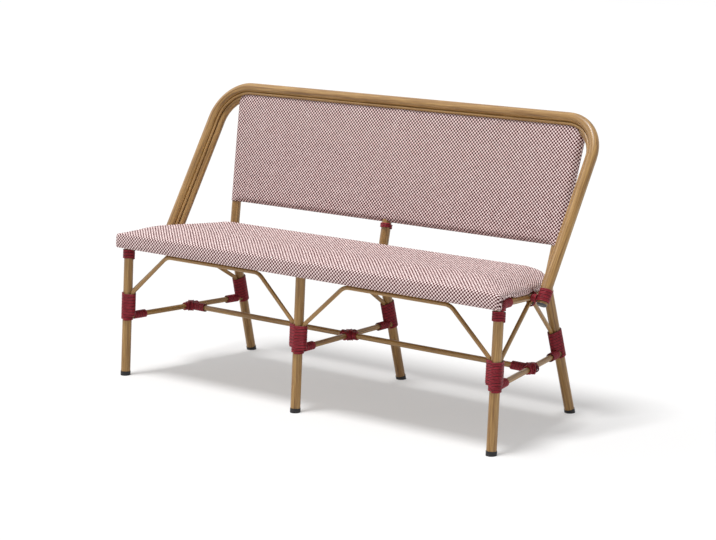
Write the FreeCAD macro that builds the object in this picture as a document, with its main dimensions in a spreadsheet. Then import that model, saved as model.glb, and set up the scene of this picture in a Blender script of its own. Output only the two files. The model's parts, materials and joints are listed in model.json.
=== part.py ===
import FreeCAD, Part
import itertools
import math
import os
from types import SimpleNamespace

import Sketcher
from FreeCAD import Placement, Rotation, Vector

# A fixed patio bench of bent tube, with an upholstered seat, a woven back and cord bindings.
# Millimetres, degrees. +Z is up, +Y is to the rear, the origin is on the floor under the middle.

SIZES = {
    # legs and feet
    "leg_diameter": 28,
    "leg_wall": 1.5,
    "leg_inset": 24,
    "rear_leg_inset": 93,
    "foot_spread": 483,
    "front_leg_rake": 4.1,
    "rear_leg_rake": 14.6,
    "rear_leg_bend_radius": 80,
    "rear_leg_splay": 2.8,
    "post_splay": 4.7,
    "foot_diameter": 30,
    "foot_height": 12,
    "plug_depth": 24,
    "plug_clearance": 0.2,
    # back hoop
    "arm_outset": 19,
    "hoop_height": 831,
    "hoop_top_y": 240,
    "hoop_diameter": 28,
    "hoop_wall": 1.5,
    "hoop_corner_radius": 112,
    "arm_rake": 32,
    "arm_tail": 13.5,
    "inner_hoop_diameter": 25,
    "inner_hoop_wall": 1.5,
    "bead_diameter": 8.5,
    "cap_thickness": 5,
    "arm_boss_diameter": 8,
    "arm_boss_gap": 24,
    # seat frame
    "front_rail_height": 398,
    "rear_rail_height": 371,
    "rail_diameter": 20,
    "rail_wall": 1.5,
    "seat_corner_bend_radius": 43,
    "rear_joint_run": 9,
    # stretchers
    "stretcher_height": 179,
    "stretcher_diameter": 16,
    "stretcher_wall": 1.2,
    # arches
    "arch_diameter": 12,
    "arch_end_height": 190,
    "arch_foot_height": 252,
    "arch_foot_bend_radius": 18,
    "front_arch_height": 375,
    "front_arch_shoulder": 157,
    "front_arch_bend_radius": 45,
    "side_arch_setback": 194,
    "side_arch_flat": 26,
    "side_arch_bend_radius": 28,
    "side_arch_rear_height": 252,
    # seat
    "board_thickness": 11,
    "board_inset": 44,
    "seat_front_width": 1400,
    "seat_taper": 130,
    "seat_overhang": 38,
    "seat_corner_radius": 105,
    "cushion_edge": 12,
    "cushion_crown": 31,
    "cushion_tuck": 5,
    "seat_rear_clearance": 4,
    "roll_drop": 12.5,
    "roll_round": 6,
    "roll_clearance": 0.6,
    "arm_notch": 2,
    # back
    "panel_bottom_height": 485,
    "back_rail_diameter": 25,
    "back_rail_wall": 1.5,
    "cloth_thickness": 1.6,
    "cloth_clearance": 0.3,
    # cord bindings
    "cord_diameter": 4,
    "cord_gap": 0.5,
    "cord_clearance": 0.3,
    "front_binding_turns": 11,
    "rear_binding_turns": 10,
    "stretcher_binding_turns": 7,
    "crossing_binding_turns": 3,
    "corner_leg_turns": 6,
    "corner_rail_turns": 8,
    "arm_binding_turns": 5,
    "arch_binding_turns": 3,
    "post_binding_turns": 3,
    # every pair of tubes that lie side by side
    "touch_gap": 0.1,
}

doc = FreeCAD.newDocument("PatioBench")
sheet = doc.addObject("Spreadsheet::Sheet", "Sizes")
for row, (alias, value) in enumerate(SIZES.items(), start=1):
    sheet.set(f"A{row}", alias)
    sheet.set(f"B{row}", str(value))
    sheet.setAlias(f"B{row}", alias)
doc.recompute()
size = SimpleNamespace(**{alias: float(sheet.get(alias)) for alias in SIZES})

SIDES = {"left": -1, "right": 1}
ROWS = {"left": -1, "centre": 0, "right": 1}
ACROSS = Vector(1, 0, 0)
UP = Vector(0, 0, 1)
ORIGIN = Vector(0, 0, 0)

nodes = {}


# Helpers for placing, tubes and cuts

def lean(angle):
    """A direction in the side view, leaning to the rear by an angle from the vertical."""
    return Vector(0, math.sin(math.radians(angle)), math.cos(math.radians(angle)))


def axes(origin, x_axis, y_axis):
    """The placement whose local X and Y run along two square directions."""
    return Placement(origin, Rotation(x_axis, y_axis, x_axis.cross(y_axis), "XYZ"))


def along(start, direction):
    """The placement whose local Z runs along a direction."""
    return Placement(start, Rotation(UP, direction))


def attach(sketch, body, role, height=0.0):
    plane = next(item for item in body.Origin.OriginFeatures if item.Role == role)
    sketch.AttachmentSupport = [(plane, "")]
    sketch.MapMode = "FlatFace"
    sketch.AttachmentOffset = Placement(Vector(0, 0, height), Rotation())


def new_sketch(body, name, role, height=0.0):
    sketch = body.newObject("Sketcher::SketchObject", name)
    attach(sketch, body, role, height)
    return sketch


def new_body(name, placement):
    body = doc.addObject("PartDesign::Body", name)
    body.Placement = placement
    return body


def circle(sketch, radius_formula):
    """A circle on the sketch's origin, whose radius follows the sheet."""
    edge = sketch.addGeometry(Part.Circle(ORIGIN, UP, 10))
    sketch.addConstraint(Sketcher.Constraint("Coincident", edge, 3, -1, 1))
    radius = sketch.addConstraint(Sketcher.Constraint("Radius", edge, 10))
    sketch.setExpression(f"Constraints[{radius}]", radius_formula)


def ring(body, role, diameter, wall):
    """The section of a tube, or of a bar where it has no wall."""
    sketch = new_sketch(body, body.Name + "_section", role)
    circle(sketch, f"Sizes.{diameter} / 2")
    if wall:
        circle(sketch, f"Sizes.{diameter} / 2 - Sizes.{wall}")
    return sketch


def keep(label, shape_object):
    """Names a finished sub-part."""
    shape_object.Label = label
    nodes[label] = shape_object
    return shape_object


def tube(name, start, end, diameter, wall):
    """A straight tube from one point of its axis to another."""
    run = end - start
    body = new_body(name, along(start, run))
    pad = body.newObject("PartDesign::Pad", name + "_pad")
    pad.Profile = ring(body, "XY_Plane", diameter, wall)
    pad.Length = run.Length
    return body


def bent_tube(name, placement, runs, turns, bends, diameter, wall):
    """A tube in one plane: straight runs, each followed by a bend to the right (or left if negative)."""
    body = new_body(name, placement)
    path = new_sketch(body, name + "_path", "XY_Plane")
    point = ORIGIN
    heading = math.pi / 2
    last = (-1, 1)
    for index, run in enumerate(runs):
        end = point + Vector(math.cos(heading), math.sin(heading), 0) * run
        line = path.addGeometry(Part.LineSegment(point, end))
        joint = "Coincident" if index == 0 else "Tangent"
        path.addConstraint(Sketcher.Constraint(joint, line, 1, *last))
        path.addConstraint(Sketcher.Constraint("Distance", line, run))
        path.addConstraint(Sketcher.Constraint("Angle", line, heading))
        if index == len(turns):
            break
        turn = math.radians(turns[index])
        radius = getattr(size, bends[index]) if bends[index] in SIZES else float(bends[index])
        side = math.copysign(1, turn)
        centre = end + Vector(math.sin(heading), -math.cos(heading), 0) * (side * radius)
        first = heading + side * math.pi / 2
        bounds = sorted((first, first - turn))
        arc = path.addGeometry(Part.ArcOfCircle(Part.Circle(centre, UP, radius), *bounds))
        near, far = (2, 1) if turn > 0 else (1, 2)
        path.addConstraint(Sketcher.Constraint("Tangent", arc, near, line, 2))
        limit = path.addConstraint(Sketcher.Constraint("Radius", arc, radius))
        if bends[index] in SIZES:
            path.setExpression(f"Constraints[{limit}]", f"Sizes.{bends[index]}")
        heading -= turn
        point = centre - Vector(math.sin(heading), -math.cos(heading), 0) * (side * radius)
        last = (arc, far)
    pipe = body.newObject("PartDesign::AdditivePipe", name + "_pipe")
    pipe.Profile = ring(body, "XZ_Plane", diameter, wall)
    pipe.Spine = (path, [f"Edge{edge + 1}" for edge in range(len(runs) + len(turns))])
    return body


def envelope(name, start, end, radius_formula):
    """A plain bar along an axis, to cope other tubes against."""
    bar = doc.addObject("Part::Cylinder", name)
    bar.setExpression("Radius", radius_formula)
    bar.Height = (end - start).Length
    bar.Placement = along(start, end - start)
    return bar


def cut(name, base, tools):
    """The base with the tools taken out of it."""
    tool = tools[0]
    if len(tools) > 1:
        tool = doc.addObject("Part::MultiFuse", name + "_tools")
        tool.Shapes = tools
    result = doc.addObject("Part::Cut", name)
    result.Base = base
    result.Tool = tool
    return result


def tangent_length(radius, turn):
    return radius * math.tan(math.radians(turn) / 2)


# Derived places: legs and posts

leg_radius = size.leg_diameter / 2
rail_radius = size.rail_diameter / 2
arch_radius = size.arch_diameter / 2
stretcher_radius = size.stretcher_diameter / 2
hoop_radius = size.hoop_diameter / 2
inner_radius = size.inner_hoop_diameter / 2
bead_radius = size.bead_diameter / 2
cord_radius = size.cord_diameter / 2
front_leg_x = size.seat_front_width / 2 - size.leg_inset
rear_leg_x = front_leg_x - size.rear_leg_inset
hoop_x = front_leg_x + size.arm_outset

front_up = lean(size.front_leg_rake)
rear_up = lean(-size.rear_leg_rake)
front_back = Vector(0, front_up.z, -front_up.y)
rear_front = Vector(0, -rear_up.z, rear_up.y)


def front_axis(x, height):
    """The point of a front leg's axis at a height."""
    return Vector(x, -size.foot_spread / 2, 0) + front_up * (height / front_up.z)


leg_splay = math.tan(math.radians(size.rear_leg_splay))


def rear_way(row_side):
    """The direction up a rear leg: the outer ones spread apart towards the floor."""
    return (rear_up / rear_up.z - ACROSS * (row_side * leg_splay)).normalize()


def rear_axis(x, height):
    """A point on a rear leg's axis, by its distance across at the rear rail's height."""
    spread = math.copysign(leg_splay, x) * (size.rear_rail_height - height) if x else 0
    return Vector(x + spread, size.foot_spread / 2, 0) + rear_up * (height / rear_up.z)


# Derived places: back hoop, with its inner tube behind and inside it and the bead in their groove

arm_up = lean(size.arm_rake)
hoop_front = ACROSS.cross(arm_up)
hoop_top = Vector(0, size.hoop_top_y, size.hoop_height)
hoop_pitch = hoop_radius + inner_radius + size.touch_gap
inner_step = hoop_pitch / math.sqrt(2)
bead_to_hoop = hoop_radius + bead_radius + size.touch_gap
bead_to_inner = inner_radius + bead_radius + size.touch_gap
bead_along = (bead_to_hoop ** 2 - bead_to_inner ** 2 + hoop_pitch ** 2) / (2 * hoop_pitch)
bead_aside = math.sqrt(bead_to_hoop ** 2 - bead_along ** 2)
bead_in = (bead_along + bead_aside) / math.sqrt(2)
bead_forward = (bead_aside - bead_along) / math.sqrt(2)
inner_top = hoop_top - arm_up * inner_step - hoop_front * inner_step

bend_corner = rear_axis(0, size.rear_rail_height)
post_up = Vector(0, inner_top.y - bend_corner.y, inner_top.z - bend_corner.z)
post_length = post_up.Length
post_up = post_up / post_length
post_front = Vector(0, -post_up.z, post_up.y)
rear_turn = math.degrees(post_up.getAngle(rear_up))
splay = math.tan(math.radians(size.post_splay))


def post_way(row_side):
    """The direction of a back post: the outer ones spread apart towards the hoop."""
    return (post_up + ACROSS * (row_side * splay)).normalize()


def post_x(rise):
    """How far an outer post is from the middle, by its rise above the bend's corner."""
    return rear_leg_x + rise * splay


def post_reach(row_side):
    """A post's length to the inner hoop's axis, less where the hoop's corner turns down."""
    bend = size.hoop_corner_radius - inner_step
    across = max(0, abs(row_side) * post_x(post_length) - (hoop_x - size.hoop_corner_radius))
    drop = bend - math.sqrt(bend ** 2 - across ** 2)
    return (post_length - drop) / post_up.dot(post_way(row_side))


# Derived places: seat frame, a plane through the front and rear rails

bend_centre = bend_corner + (post_up - rear_up).normalize() * (
    size.rear_leg_bend_radius / math.cos(math.radians(rear_turn) / 2))
rear_rail_y = bend_centre.y - size.rear_leg_bend_radius - leg_radius - rail_radius - size.touch_gap
front_rail = front_axis(0, size.front_rail_height)
rear_rail = Vector(0, rear_rail_y, size.rear_rail_height)
seat_back = rear_rail - front_rail
seat_run = seat_back.Length
seat_back = seat_back / seat_run
seat_up = ACROSS.cross(seat_back)


def on_seat(x, y, rise=0.0):
    """A point given across, back from the front rail and up from the rails' plane."""
    return front_rail + ACROSS * x + seat_back * y + seat_up * rise


def arm_at_seat(top):
    """How far down an arm, from the top rail, its axis crosses the rails' plane."""
    return (top - front_rail).dot(seat_up) / arm_up.dot(seat_up)


arm_cross = arm_at_seat(hoop_top)
arm_cross_y = (hoop_top - arm_up * arm_cross - front_rail).dot(seat_back)
rail_at_arm_x = hoop_x - hoop_radius - rail_radius - size.arm_boss_gap
side_slant = math.atan2(front_leg_x - rail_at_arm_x, arm_cross_y)
side_rear_x = front_leg_x - seat_run * math.tan(side_slant)
side_turn = 90 - math.degrees(side_slant)
side_tangent = tangent_length(size.seat_corner_bend_radius, side_turn)
rear_joint_x = side_rear_x - side_tangent - size.rear_joint_run
arm_length = arm_cross + size.arm_tail


def side_rail_x(y):
    return front_leg_x - y * math.tan(side_slant)


# Legs, feet and their coping bars

def foot_plug(label, floor_point, up):
    """A plug with its stem in the tube and its head cut level with the floor."""
    head = size.foot_height + size.foot_diameter
    level_way = (ACROSS - up * ACROSS.dot(up)).normalize()
    body = new_body(label + "_turned", axes(floor_point + up * size.foot_height, level_way, up))
    sketch = new_sketch(body, label + "_profile", "XY_Plane")
    stem = leg_radius - size.leg_wall - size.plug_clearance
    outline = [(0, -head), (size.foot_diameter / 2, -head), (size.foot_diameter / 2, 0),
               (stem, 0), (stem, size.plug_depth), (0, size.plug_depth)]
    add_polygon(sketch, outline)
    turn = body.newObject("PartDesign::Revolution", label + "_turn")
    turn.Profile = sketch
    turn.ReferenceAxis = (sketch, ["V_Axis"])
    turn.Angle = 360
    floor = doc.addObject("Part::Box", label + "_floor")
    floor.Length = floor.Width = floor.Height = 4 * head
    floor.Placement = Placement(floor_point - Vector(2 * head, 2 * head, 4 * head), Rotation())
    keep(label, cut(label + "_cut", body, [floor]))


def add_polygon(sketch, points):
    corners = [Vector(x, y, 0) for x, y in points]
    for start, end in zip(corners, corners[1:] + corners[:1]):
        sketch.addGeometry(Part.LineSegment(start, end))
    for index in range(len(corners)):
        sketch.addConstraint(Sketcher.Constraint("Coincident", index, 2, (index + 1) % len(corners), 1))


seat_tilt = size.front_leg_rake + math.degrees(math.atan2(-seat_back.z, seat_back.y))
leg_top = (rail_radius - leg_radius * math.tan(math.radians(seat_tilt)) - size.cloth_clearance)
front_bars = {}
rear_bars = {}
post_bars = {}
for row_name, row_side in ROWS.items():
    front_x = row_side * front_leg_x
    rear_x = row_side * rear_leg_x
    front_start = front_axis(front_x, 0) + front_up * size.foot_height
    front_end = front_axis(front_x, size.front_rail_height) + front_up * leg_top
    keep(f"front_leg_{row_name}",
         tube(f"front_leg_{row_name}", front_start, front_end, "leg_diameter", "leg_wall"))
    foot_plug(f"front_foot_{row_name}", front_axis(front_x, 0), front_up)
    foot_plug(f"rear_foot_{row_name}", rear_axis(rear_x, 0), rear_way(row_side))
    front_bars[row_name] = envelope(f"front_bar_{row_name}", front_start,
                                    front_end + front_up * size.leg_diameter, "Sizes.leg_diameter / 2")
    rear_bars[row_name] = envelope(f"rear_bar_{row_name}", rear_axis(rear_x, 0),
                                   rear_axis(rear_x, size.rear_rail_height), "Sizes.leg_diameter / 2")
    corner = bend_corner + ACROSS * rear_x
    post_bars[row_name] = envelope(f"post_bar_{row_name}", corner,
                                   corner + post_way(row_side) * post_reach(row_side),
                                   "Sizes.leg_diameter / 2")


# Back hoop: three nested bends in one sloping plane

def hoop_path(inset, forward, arm):
    """Where one tube of the hoop starts, its runs and its bends."""
    start = (hoop_top + ACROSS * (inset - hoop_x) - arm_up * (arm + inset) + hoop_front * forward)
    bend = size.hoop_corner_radius - inset
    runs = [arm - bend, 2 * (hoop_x - inset - bend), arm - bend]
    return axes(start, ACROSS, arm_up), runs, bend


def hoop_tube(name, inset, forward, arm, diameter, wall):
    placement, runs, bend = hoop_path(inset, forward, arm)
    bends = ["hoop_corner_radius" if inset == 0 else bend] * 2
    return bent_tube(name, placement, runs, [90, 90], bends, diameter, wall)


def hoop_bar(name, inset, forward, arm, radius):
    """A plain bar along one tube of the hoop, to cope against."""
    placement, runs, bend = hoop_path(inset, forward, arm)
    rise = runs[0]
    half = bend / math.sqrt(2)
    width = 2 * bend + runs[1]
    points = [Vector(0, 0, 0), Vector(0, rise, 0), Vector(bend - half, rise + half, 0),
              Vector(bend, rise + bend, 0), Vector(width - bend, rise + bend, 0),
              Vector(width - bend + half, rise + half, 0), Vector(width, rise, 0), Vector(width, 0, 0)]
    edges = [Part.LineSegment(points[0], points[1]), Part.Arc(*points[1:4]),
             Part.LineSegment(points[3], points[4]), Part.Arc(*points[4:7]),
             Part.LineSegment(points[6], points[7])]
    path = Part.Wire([edge.toShape() for edge in edges])
    section = Part.Wire([Part.Circle(ORIGIN, Vector(0, 1, 0), radius).toShape()])
    bar = doc.addObject("Part::Feature", name)
    bar.Shape = path.makePipeShell([section], True, False)
    bar.Placement = placement
    return bar


cord_pitch = size.cord_diameter + size.cord_gap
arm_binding_start = size.arm_boss_diameter / 2 + size.cord_diameter
arm_binding_end = arm_binding_start + size.arm_binding_turns * cord_pitch + size.cord_diameter
inner_arm = arm_cross - arm_binding_end - inner_step
bead_arm = arm_cross - arm_binding_end - bead_in

keep("back_hoop_outer", hoop_tube("back_hoop_outer", 0, 0, arm_length, "hoop_diameter", "hoop_wall"))
keep("back_hoop_bead", hoop_tube("back_hoop_bead", bead_in, bead_forward, bead_arm, "bead_diameter", None))
keep("back_hoop_inner", hoop_tube("back_hoop_inner", inner_step, -inner_step, inner_arm,
                                  "inner_hoop_diameter", "inner_hoop_wall"))
inner_bar = hoop_bar("inner_hoop_bar", inner_step, -inner_step, inner_arm, inner_radius)
bead_room = hoop_bar("bead_room", bead_in, bead_forward, bead_arm, bead_radius + size.cloth_clearance)

side_bars = {}
for side_name, side in SIDES.items():
    cap_at = hoop_top + ACROSS * (side * hoop_x) - arm_up * arm_length
    cap = new_body(f"hoop_cap_{side_name}", axes(cap_at, ACROSS, arm_up))
    cap_sketch = new_sketch(cap, f"hoop_cap_{side_name}_profile", "XY_Plane")
    cap_stem = hoop_radius - size.hoop_wall - size.plug_clearance
    cap_edge = size.cap_thickness / 2
    add_polygon(cap_sketch, [(0, -size.cap_thickness), (hoop_radius - cap_edge, -size.cap_thickness),
                             (hoop_radius, -cap_edge), (hoop_radius, 0), (cap_stem, 0),
                             (cap_stem, size.plug_depth), (0, size.plug_depth)])
    cap_turn = cap.newObject("PartDesign::Revolution", f"hoop_cap_{side_name}_turn")
    cap_turn.Profile = cap_sketch
    cap_turn.ReferenceAxis = (cap_sketch, ["V_Axis"])
    cap_turn.Angle = 360
    keep(f"hoop_cap_{side_name}", cap)
    arm_foot = hoop_top + ACROSS * (side * hoop_x) - arm_up * arm_cross
    rail_foot = on_seat(side * rail_at_arm_x, arm_cross_y)
    arm_bar = envelope(f"arm_bar_{side_name}", cap_at, arm_foot + arm_up * size.hoop_diameter,
                       "Sizes.hoop_diameter / 2")
    side_bar = envelope(f"side_bar_{side_name}", on_seat(side * front_leg_x, 0),
                        on_seat(side * side_rail_x(2 * arm_cross_y), 2 * arm_cross_y),
                        "Sizes.rail_diameter / 2")
    side_bars[side_name] = side_bar
    boss = envelope(f"arm_boss_{side_name}_bar", rail_foot, arm_foot, "Sizes.arm_boss_diameter / 2")
    keep(f"arm_boss_{side_name}", cut(f"arm_boss_{side_name}_cut", boss, [arm_bar, side_bar]))


# Rear legs: bent at the seat, coped under the inner hoop

for row_name, row_side in ROWS.items():
    way = post_way(row_side)
    leg_way = rear_way(row_side)
    turn = math.degrees(way.getAngle(leg_way))
    tangent = tangent_length(size.rear_leg_bend_radius, turn)
    lower = size.rear_rail_height / leg_way.z - size.foot_height - tangent
    aside = (way - leg_way * way.dot(leg_way)).normalize()
    rear_start = rear_axis(row_side * rear_leg_x, 0) + leg_way * size.foot_height
    leg = bent_tube(f"rear_leg_{row_name}_tube", axes(rear_start, aside, leg_way),
                    [lower, post_reach(row_side) - tangent], [turn], ["rear_leg_bend_radius"],
                    "leg_diameter", "leg_wall")
    keep(f"rear_leg_{row_name}", cut(f"rear_leg_{row_name}_cut", leg, [inner_bar, bead_room]))


# Seat rails

side_run = seat_run / math.cos(side_slant) - side_tangent
for side_name, side in SIDES.items():
    heading = ACROSS * (-side * math.sin(side_slant)) + seat_back * math.cos(side_slant)
    rail = bent_tube(f"side_rail_{side_name}_tube",
                     axes(on_seat(side * front_leg_x, 0), heading.cross(seat_up), heading),
                     [side_run, size.rear_joint_run], [-side * side_turn], ["seat_corner_bend_radius"],
                     "rail_diameter", "rail_wall")
    keep(f"side_rail_{side_name}", cut(f"side_rail_{side_name}_cut", rail, [front_bars[side_name]]))
    front = tube(f"front_rail_{side_name}_tube", on_seat(0, 0), on_seat(side * front_leg_x, 0),
                 "rail_diameter", "rail_wall")
    keep(f"front_rail_{side_name}",
         cut(f"front_rail_{side_name}_cut", front,
             [front_bars["centre"], front_bars[side_name], side_bars[side_name]]))
keep("rear_rail", tube("rear_rail", on_seat(-rear_joint_x, seat_run), on_seat(rear_joint_x, seat_run),
                       "rail_diameter", "rail_wall"))
rear_rail_bar = envelope("rear_rail_bar", on_seat(-rear_joint_x, seat_run), on_seat(rear_joint_x, seat_run),
                         "Sizes.rail_diameter / 2")
centre_rail = tube("centre_rail_tube", on_seat(0, 0), on_seat(0, seat_run), "rail_diameter", "rail_wall")
keep("centre_rail", cut("centre_rail_cut", centre_rail, [front_bars["centre"], rear_rail_bar]))

# Stretchers

stretcher_ends = {}
stretcher_bars = {}
for row_name, row_side in ROWS.items():
    start = front_axis(row_side * front_leg_x, size.stretcher_height)
    end = rear_axis(row_side * rear_leg_x, size.stretcher_height)
    stretcher_ends[row_name] = (start, end)
    stretcher_bars[row_name] = envelope(f"stretcher_bar_{row_name}", start, end,
                                        "Sizes.stretcher_diameter / 2")
    whole = tube(f"side_stretcher_{row_name}_tube", start, end, "stretcher_diameter", "stretcher_wall")
    label = f"side_stretcher_{row_name}" if row_side else "centre_stretcher"
    keep(label, cut(f"{label}_cut", whole, [front_bars[row_name], rear_bars[row_name]]))


def stretcher_crossing(row_name):
    """Where the long stretcher's line meets a side or centre stretcher, under the middle of the bench."""
    start, end = stretcher_ends[row_name]
    return start + (end - start) * (start.y / (start.y - end.y))


for side_name in SIDES:
    whole = tube(f"long_stretcher_{side_name}_tube", stretcher_crossing("centre"),
                 stretcher_crossing(side_name), "stretcher_diameter", "stretcher_wall")
    keep(f"long_stretcher_{side_name}", cut(f"long_stretcher_{side_name}_cut", whole,
                                            [stretcher_bars["centre"], stretcher_bars[side_name]]))

# Arches: thin bars whose ends lie along the legs

arch_offset = leg_radius + arch_radius + size.touch_gap
front_rise = (size.arch_foot_height - size.arch_end_height) / front_up.z
front_climb = (size.front_arch_height - size.arch_foot_height) / front_up.z
front_reach = size.front_arch_shoulder - arch_offset
shoulder_angle = math.degrees(math.atan2(front_climb, front_reach))
foot_tangent = tangent_length(size.arch_foot_bend_radius, 90 - shoulder_angle)
shoulder_tangent = tangent_length(size.front_arch_bend_radius, shoulder_angle)
front_runs = [front_rise - foot_tangent,
              math.hypot(front_climb, front_reach) - foot_tangent - shoulder_tangent,
              front_leg_x - 2 * size.front_arch_shoulder - 2 * shoulder_tangent]
front_runs = front_runs + front_runs[1::-1]
front_turns = [90 - shoulder_angle, shoulder_angle, shoulder_angle, 90 - shoulder_angle]
front_bends = ["arch_foot_bend_radius", "front_arch_bend_radius", "front_arch_bend_radius",
               "arch_foot_bend_radius"]
for side_name, first_leg in (("left", -front_leg_x), ("right", 0)):
    arch_start = front_axis(first_leg + arch_offset, size.arch_end_height)
    keep(f"front_arch_{side_name}", bent_tube(f"front_arch_{side_name}", axes(arch_start, ACROSS, front_up),
                                              front_runs, front_turns, front_bends, "arch_diameter", None))


def rounded_route(points, radii):
    """Straight runs between points, with a tangent arc at each inner one."""
    edges = []
    last = points[0]
    for before, corner, after, radius in zip(points, points[1:], points[2:], radii):
        inward = (before - corner).normalize()
        outward = (after - corner).normalize()
        half = inward.getAngle(outward) / 2
        reach = radius / math.tan(half)
        middle = (inward + outward).normalize()
        top = corner + middle * (radius / math.sin(half) - radius)
        edges.append(Part.LineSegment(last, corner + inward * reach).toShape())
        edges.append(Part.Arc(corner + inward * reach, top, corner + outward * reach).toShape())
        last = corner + outward * reach
    edges.append(Part.LineSegment(last, points[-1]).toShape())
    return Part.Wire(edges)


rear_arch_end = (size.arch_end_height
                 + (arch_offset + arch_radius) * math.sin(math.radians(size.rear_leg_rake)))


def side_arch(label, row_side):
    """From behind the front leg up to the underside of the rail, and down to the front of the rear leg.
    In the middle it is a brace: it starts under the rail and has only the rear half."""
    front_x = row_side * front_leg_x
    rear_x = row_side * rear_leg_x
    hang = -(rail_radius + arch_radius + size.touch_gap)
    tops = []
    for step in (-0.5, 0.5):
        y = size.side_arch_setback + step * size.side_arch_flat
        tops.append(on_seat(row_side * side_rail_x(y), y, hang))
    points = [*tops,
              rear_axis(rear_x, size.side_arch_rear_height) + rear_front * arch_offset,
              rear_axis(rear_x, rear_arch_end) + rear_front * arch_offset]
    radii = [size.side_arch_bend_radius, size.arch_foot_bend_radius]
    if row_side:
        points = [front_axis(front_x, size.arch_end_height) + front_back * arch_offset,
                  front_axis(front_x, size.arch_foot_height) + front_back * arch_offset] + points
        radii = [size.arch_foot_bend_radius, size.side_arch_bend_radius] + radii
    route = rounded_route(points, radii)
    section = Part.Wire([Part.Circle(points[0], points[1] - points[0], arch_radius).toShape()])
    arch = doc.addObject("Part::Feature", label)
    arch.Shape = route.makePipeShell([section], True, False)
    keep(label, arch)


side_arch("side_arch_left", -1)
side_arch("centre_brace", 0)
side_arch("side_arch_right", 1)


# Seat: board, crowned cushion and the roll round the front rail

def seat_outline(inset):
    """Corners of the seat in plan, drawn in all round by an inset, and the rear corners' radius."""
    front = inset - size.seat_overhang
    rear = seat_run + rail_radius - size.seat_rear_clearance - inset
    half_front = size.seat_front_width / 2 - inset
    half_rear = (size.seat_front_width - size.seat_taper) / 2 - inset
    return half_front, half_rear, front, rear, size.seat_corner_radius - inset


def draw_seat_outline(sketch, inset):
    """Front and sides as lines, each rear corner as one tangent arc."""
    half_front, half_rear, front, rear, radius = seat_outline(inset)
    flare = math.atan2(half_front - half_rear, rear - front)
    reach = radius * math.tan((math.pi / 2 - flare) / 2)
    side_x = half_rear + reach * math.sin(flare)
    side_y = rear - reach * math.cos(flare)
    right = Vector(half_rear - reach, rear - radius, 0)
    left = Vector(-right.x, right.y, 0)
    shapes = [Part.LineSegment(Vector(-half_front, front, 0), Vector(half_front, front, 0)),
              Part.LineSegment(Vector(half_front, front, 0), Vector(side_x, side_y, 0)),
              Part.ArcOfCircle(Part.Circle(right, UP, radius), flare, math.pi / 2),
              Part.LineSegment(Vector(right.x, rear, 0), Vector(left.x, rear, 0)),
              Part.ArcOfCircle(Part.Circle(left, UP, radius), math.pi / 2, math.pi - flare),
              Part.LineSegment(Vector(-side_x, side_y, 0), Vector(-half_front, front, 0))]
    for shape in shapes:
        sketch.addGeometry(shape)
    for index in range(len(shapes)):
        sketch.addConstraint(Sketcher.Constraint("Coincident", index, 2, (index + 1) % len(shapes), 1))


seat_frame = axes(front_rail, ACROSS, seat_back)
board_bottom = rail_radius + size.touch_gap
board_top = board_bottom + size.board_thickness
board = new_body("seat_board", seat_frame)
board_sketch = new_sketch(board, "seat_board_outline", "XY_Plane", board_bottom)
draw_seat_outline(board_sketch, size.board_inset)
board_pad = board.newObject("PartDesign::Pad", "seat_board_pad")
board_pad.Profile = board_sketch
board_pad.setExpression("Length", "Sizes.board_thickness")
keep("seat_board", board)

# heights and insets of the cushion's outlines: tucked in below, full at mid edge, crowned above
cushion_bottom = board_top + size.touch_gap
edge_top = cushion_bottom + size.cushion_edge
crown_inset = size.seat_corner_radius * 0.9
cushion_levels = [(cushion_bottom, size.cushion_tuck),
                  (cushion_bottom + size.cushion_edge / 3, 0),
                  (cushion_bottom + 2 * size.cushion_edge / 3, size.cushion_tuck / 3),
                  (edge_top, size.cushion_tuck * 2.2),
                  (edge_top + 0.55 * size.cushion_crown, crown_inset * 0.4),
                  (edge_top + size.cushion_crown, crown_inset)]
cushion = new_body("seat_cushion_loft", seat_frame)
cushion_sketches = []
for index, (level, inset) in enumerate(cushion_levels):
    level_sketch = new_sketch(cushion, f"seat_cushion_outline_{index}", "XY_Plane", level)
    draw_seat_outline(level_sketch, inset)
    cushion_sketches.append(level_sketch)
cushion_loft = cushion.newObject("PartDesign::AdditiveLoft", "seat_cushion_crown")
cushion_loft.Profile = cushion_sketches[0]
cushion_loft.Sections = cushion_sketches[1:]
cushion_loft.Ruled = True

notches = []
for side_name, side in SIDES.items():
    between = (hoop_top + inner_top) * 0.5
    for name, top, x, radius in (("hoop", hoop_top, hoop_x, "hoop_diameter"),
                                 ("groove", between, hoop_x - inner_step / 2, "hoop_diameter"),
                                 ("inner", inner_top, hoop_x - inner_step, "inner_hoop_diameter")):
        low = top + ACROSS * (side * x) - arm_up * arm_at_seat(top)
        bar = envelope(f"{name}_notch_{side_name}", low, low + arm_up * (4 * size.seat_overhang),
                       f"Sizes.{radius} / 2 + Sizes.cord_diameter + Sizes.cord_clearance + Sizes.arm_notch")
        notches.append(bar)
keep("seat_cushion", cut("seat_cushion_cut", cushion, notches))

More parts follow.
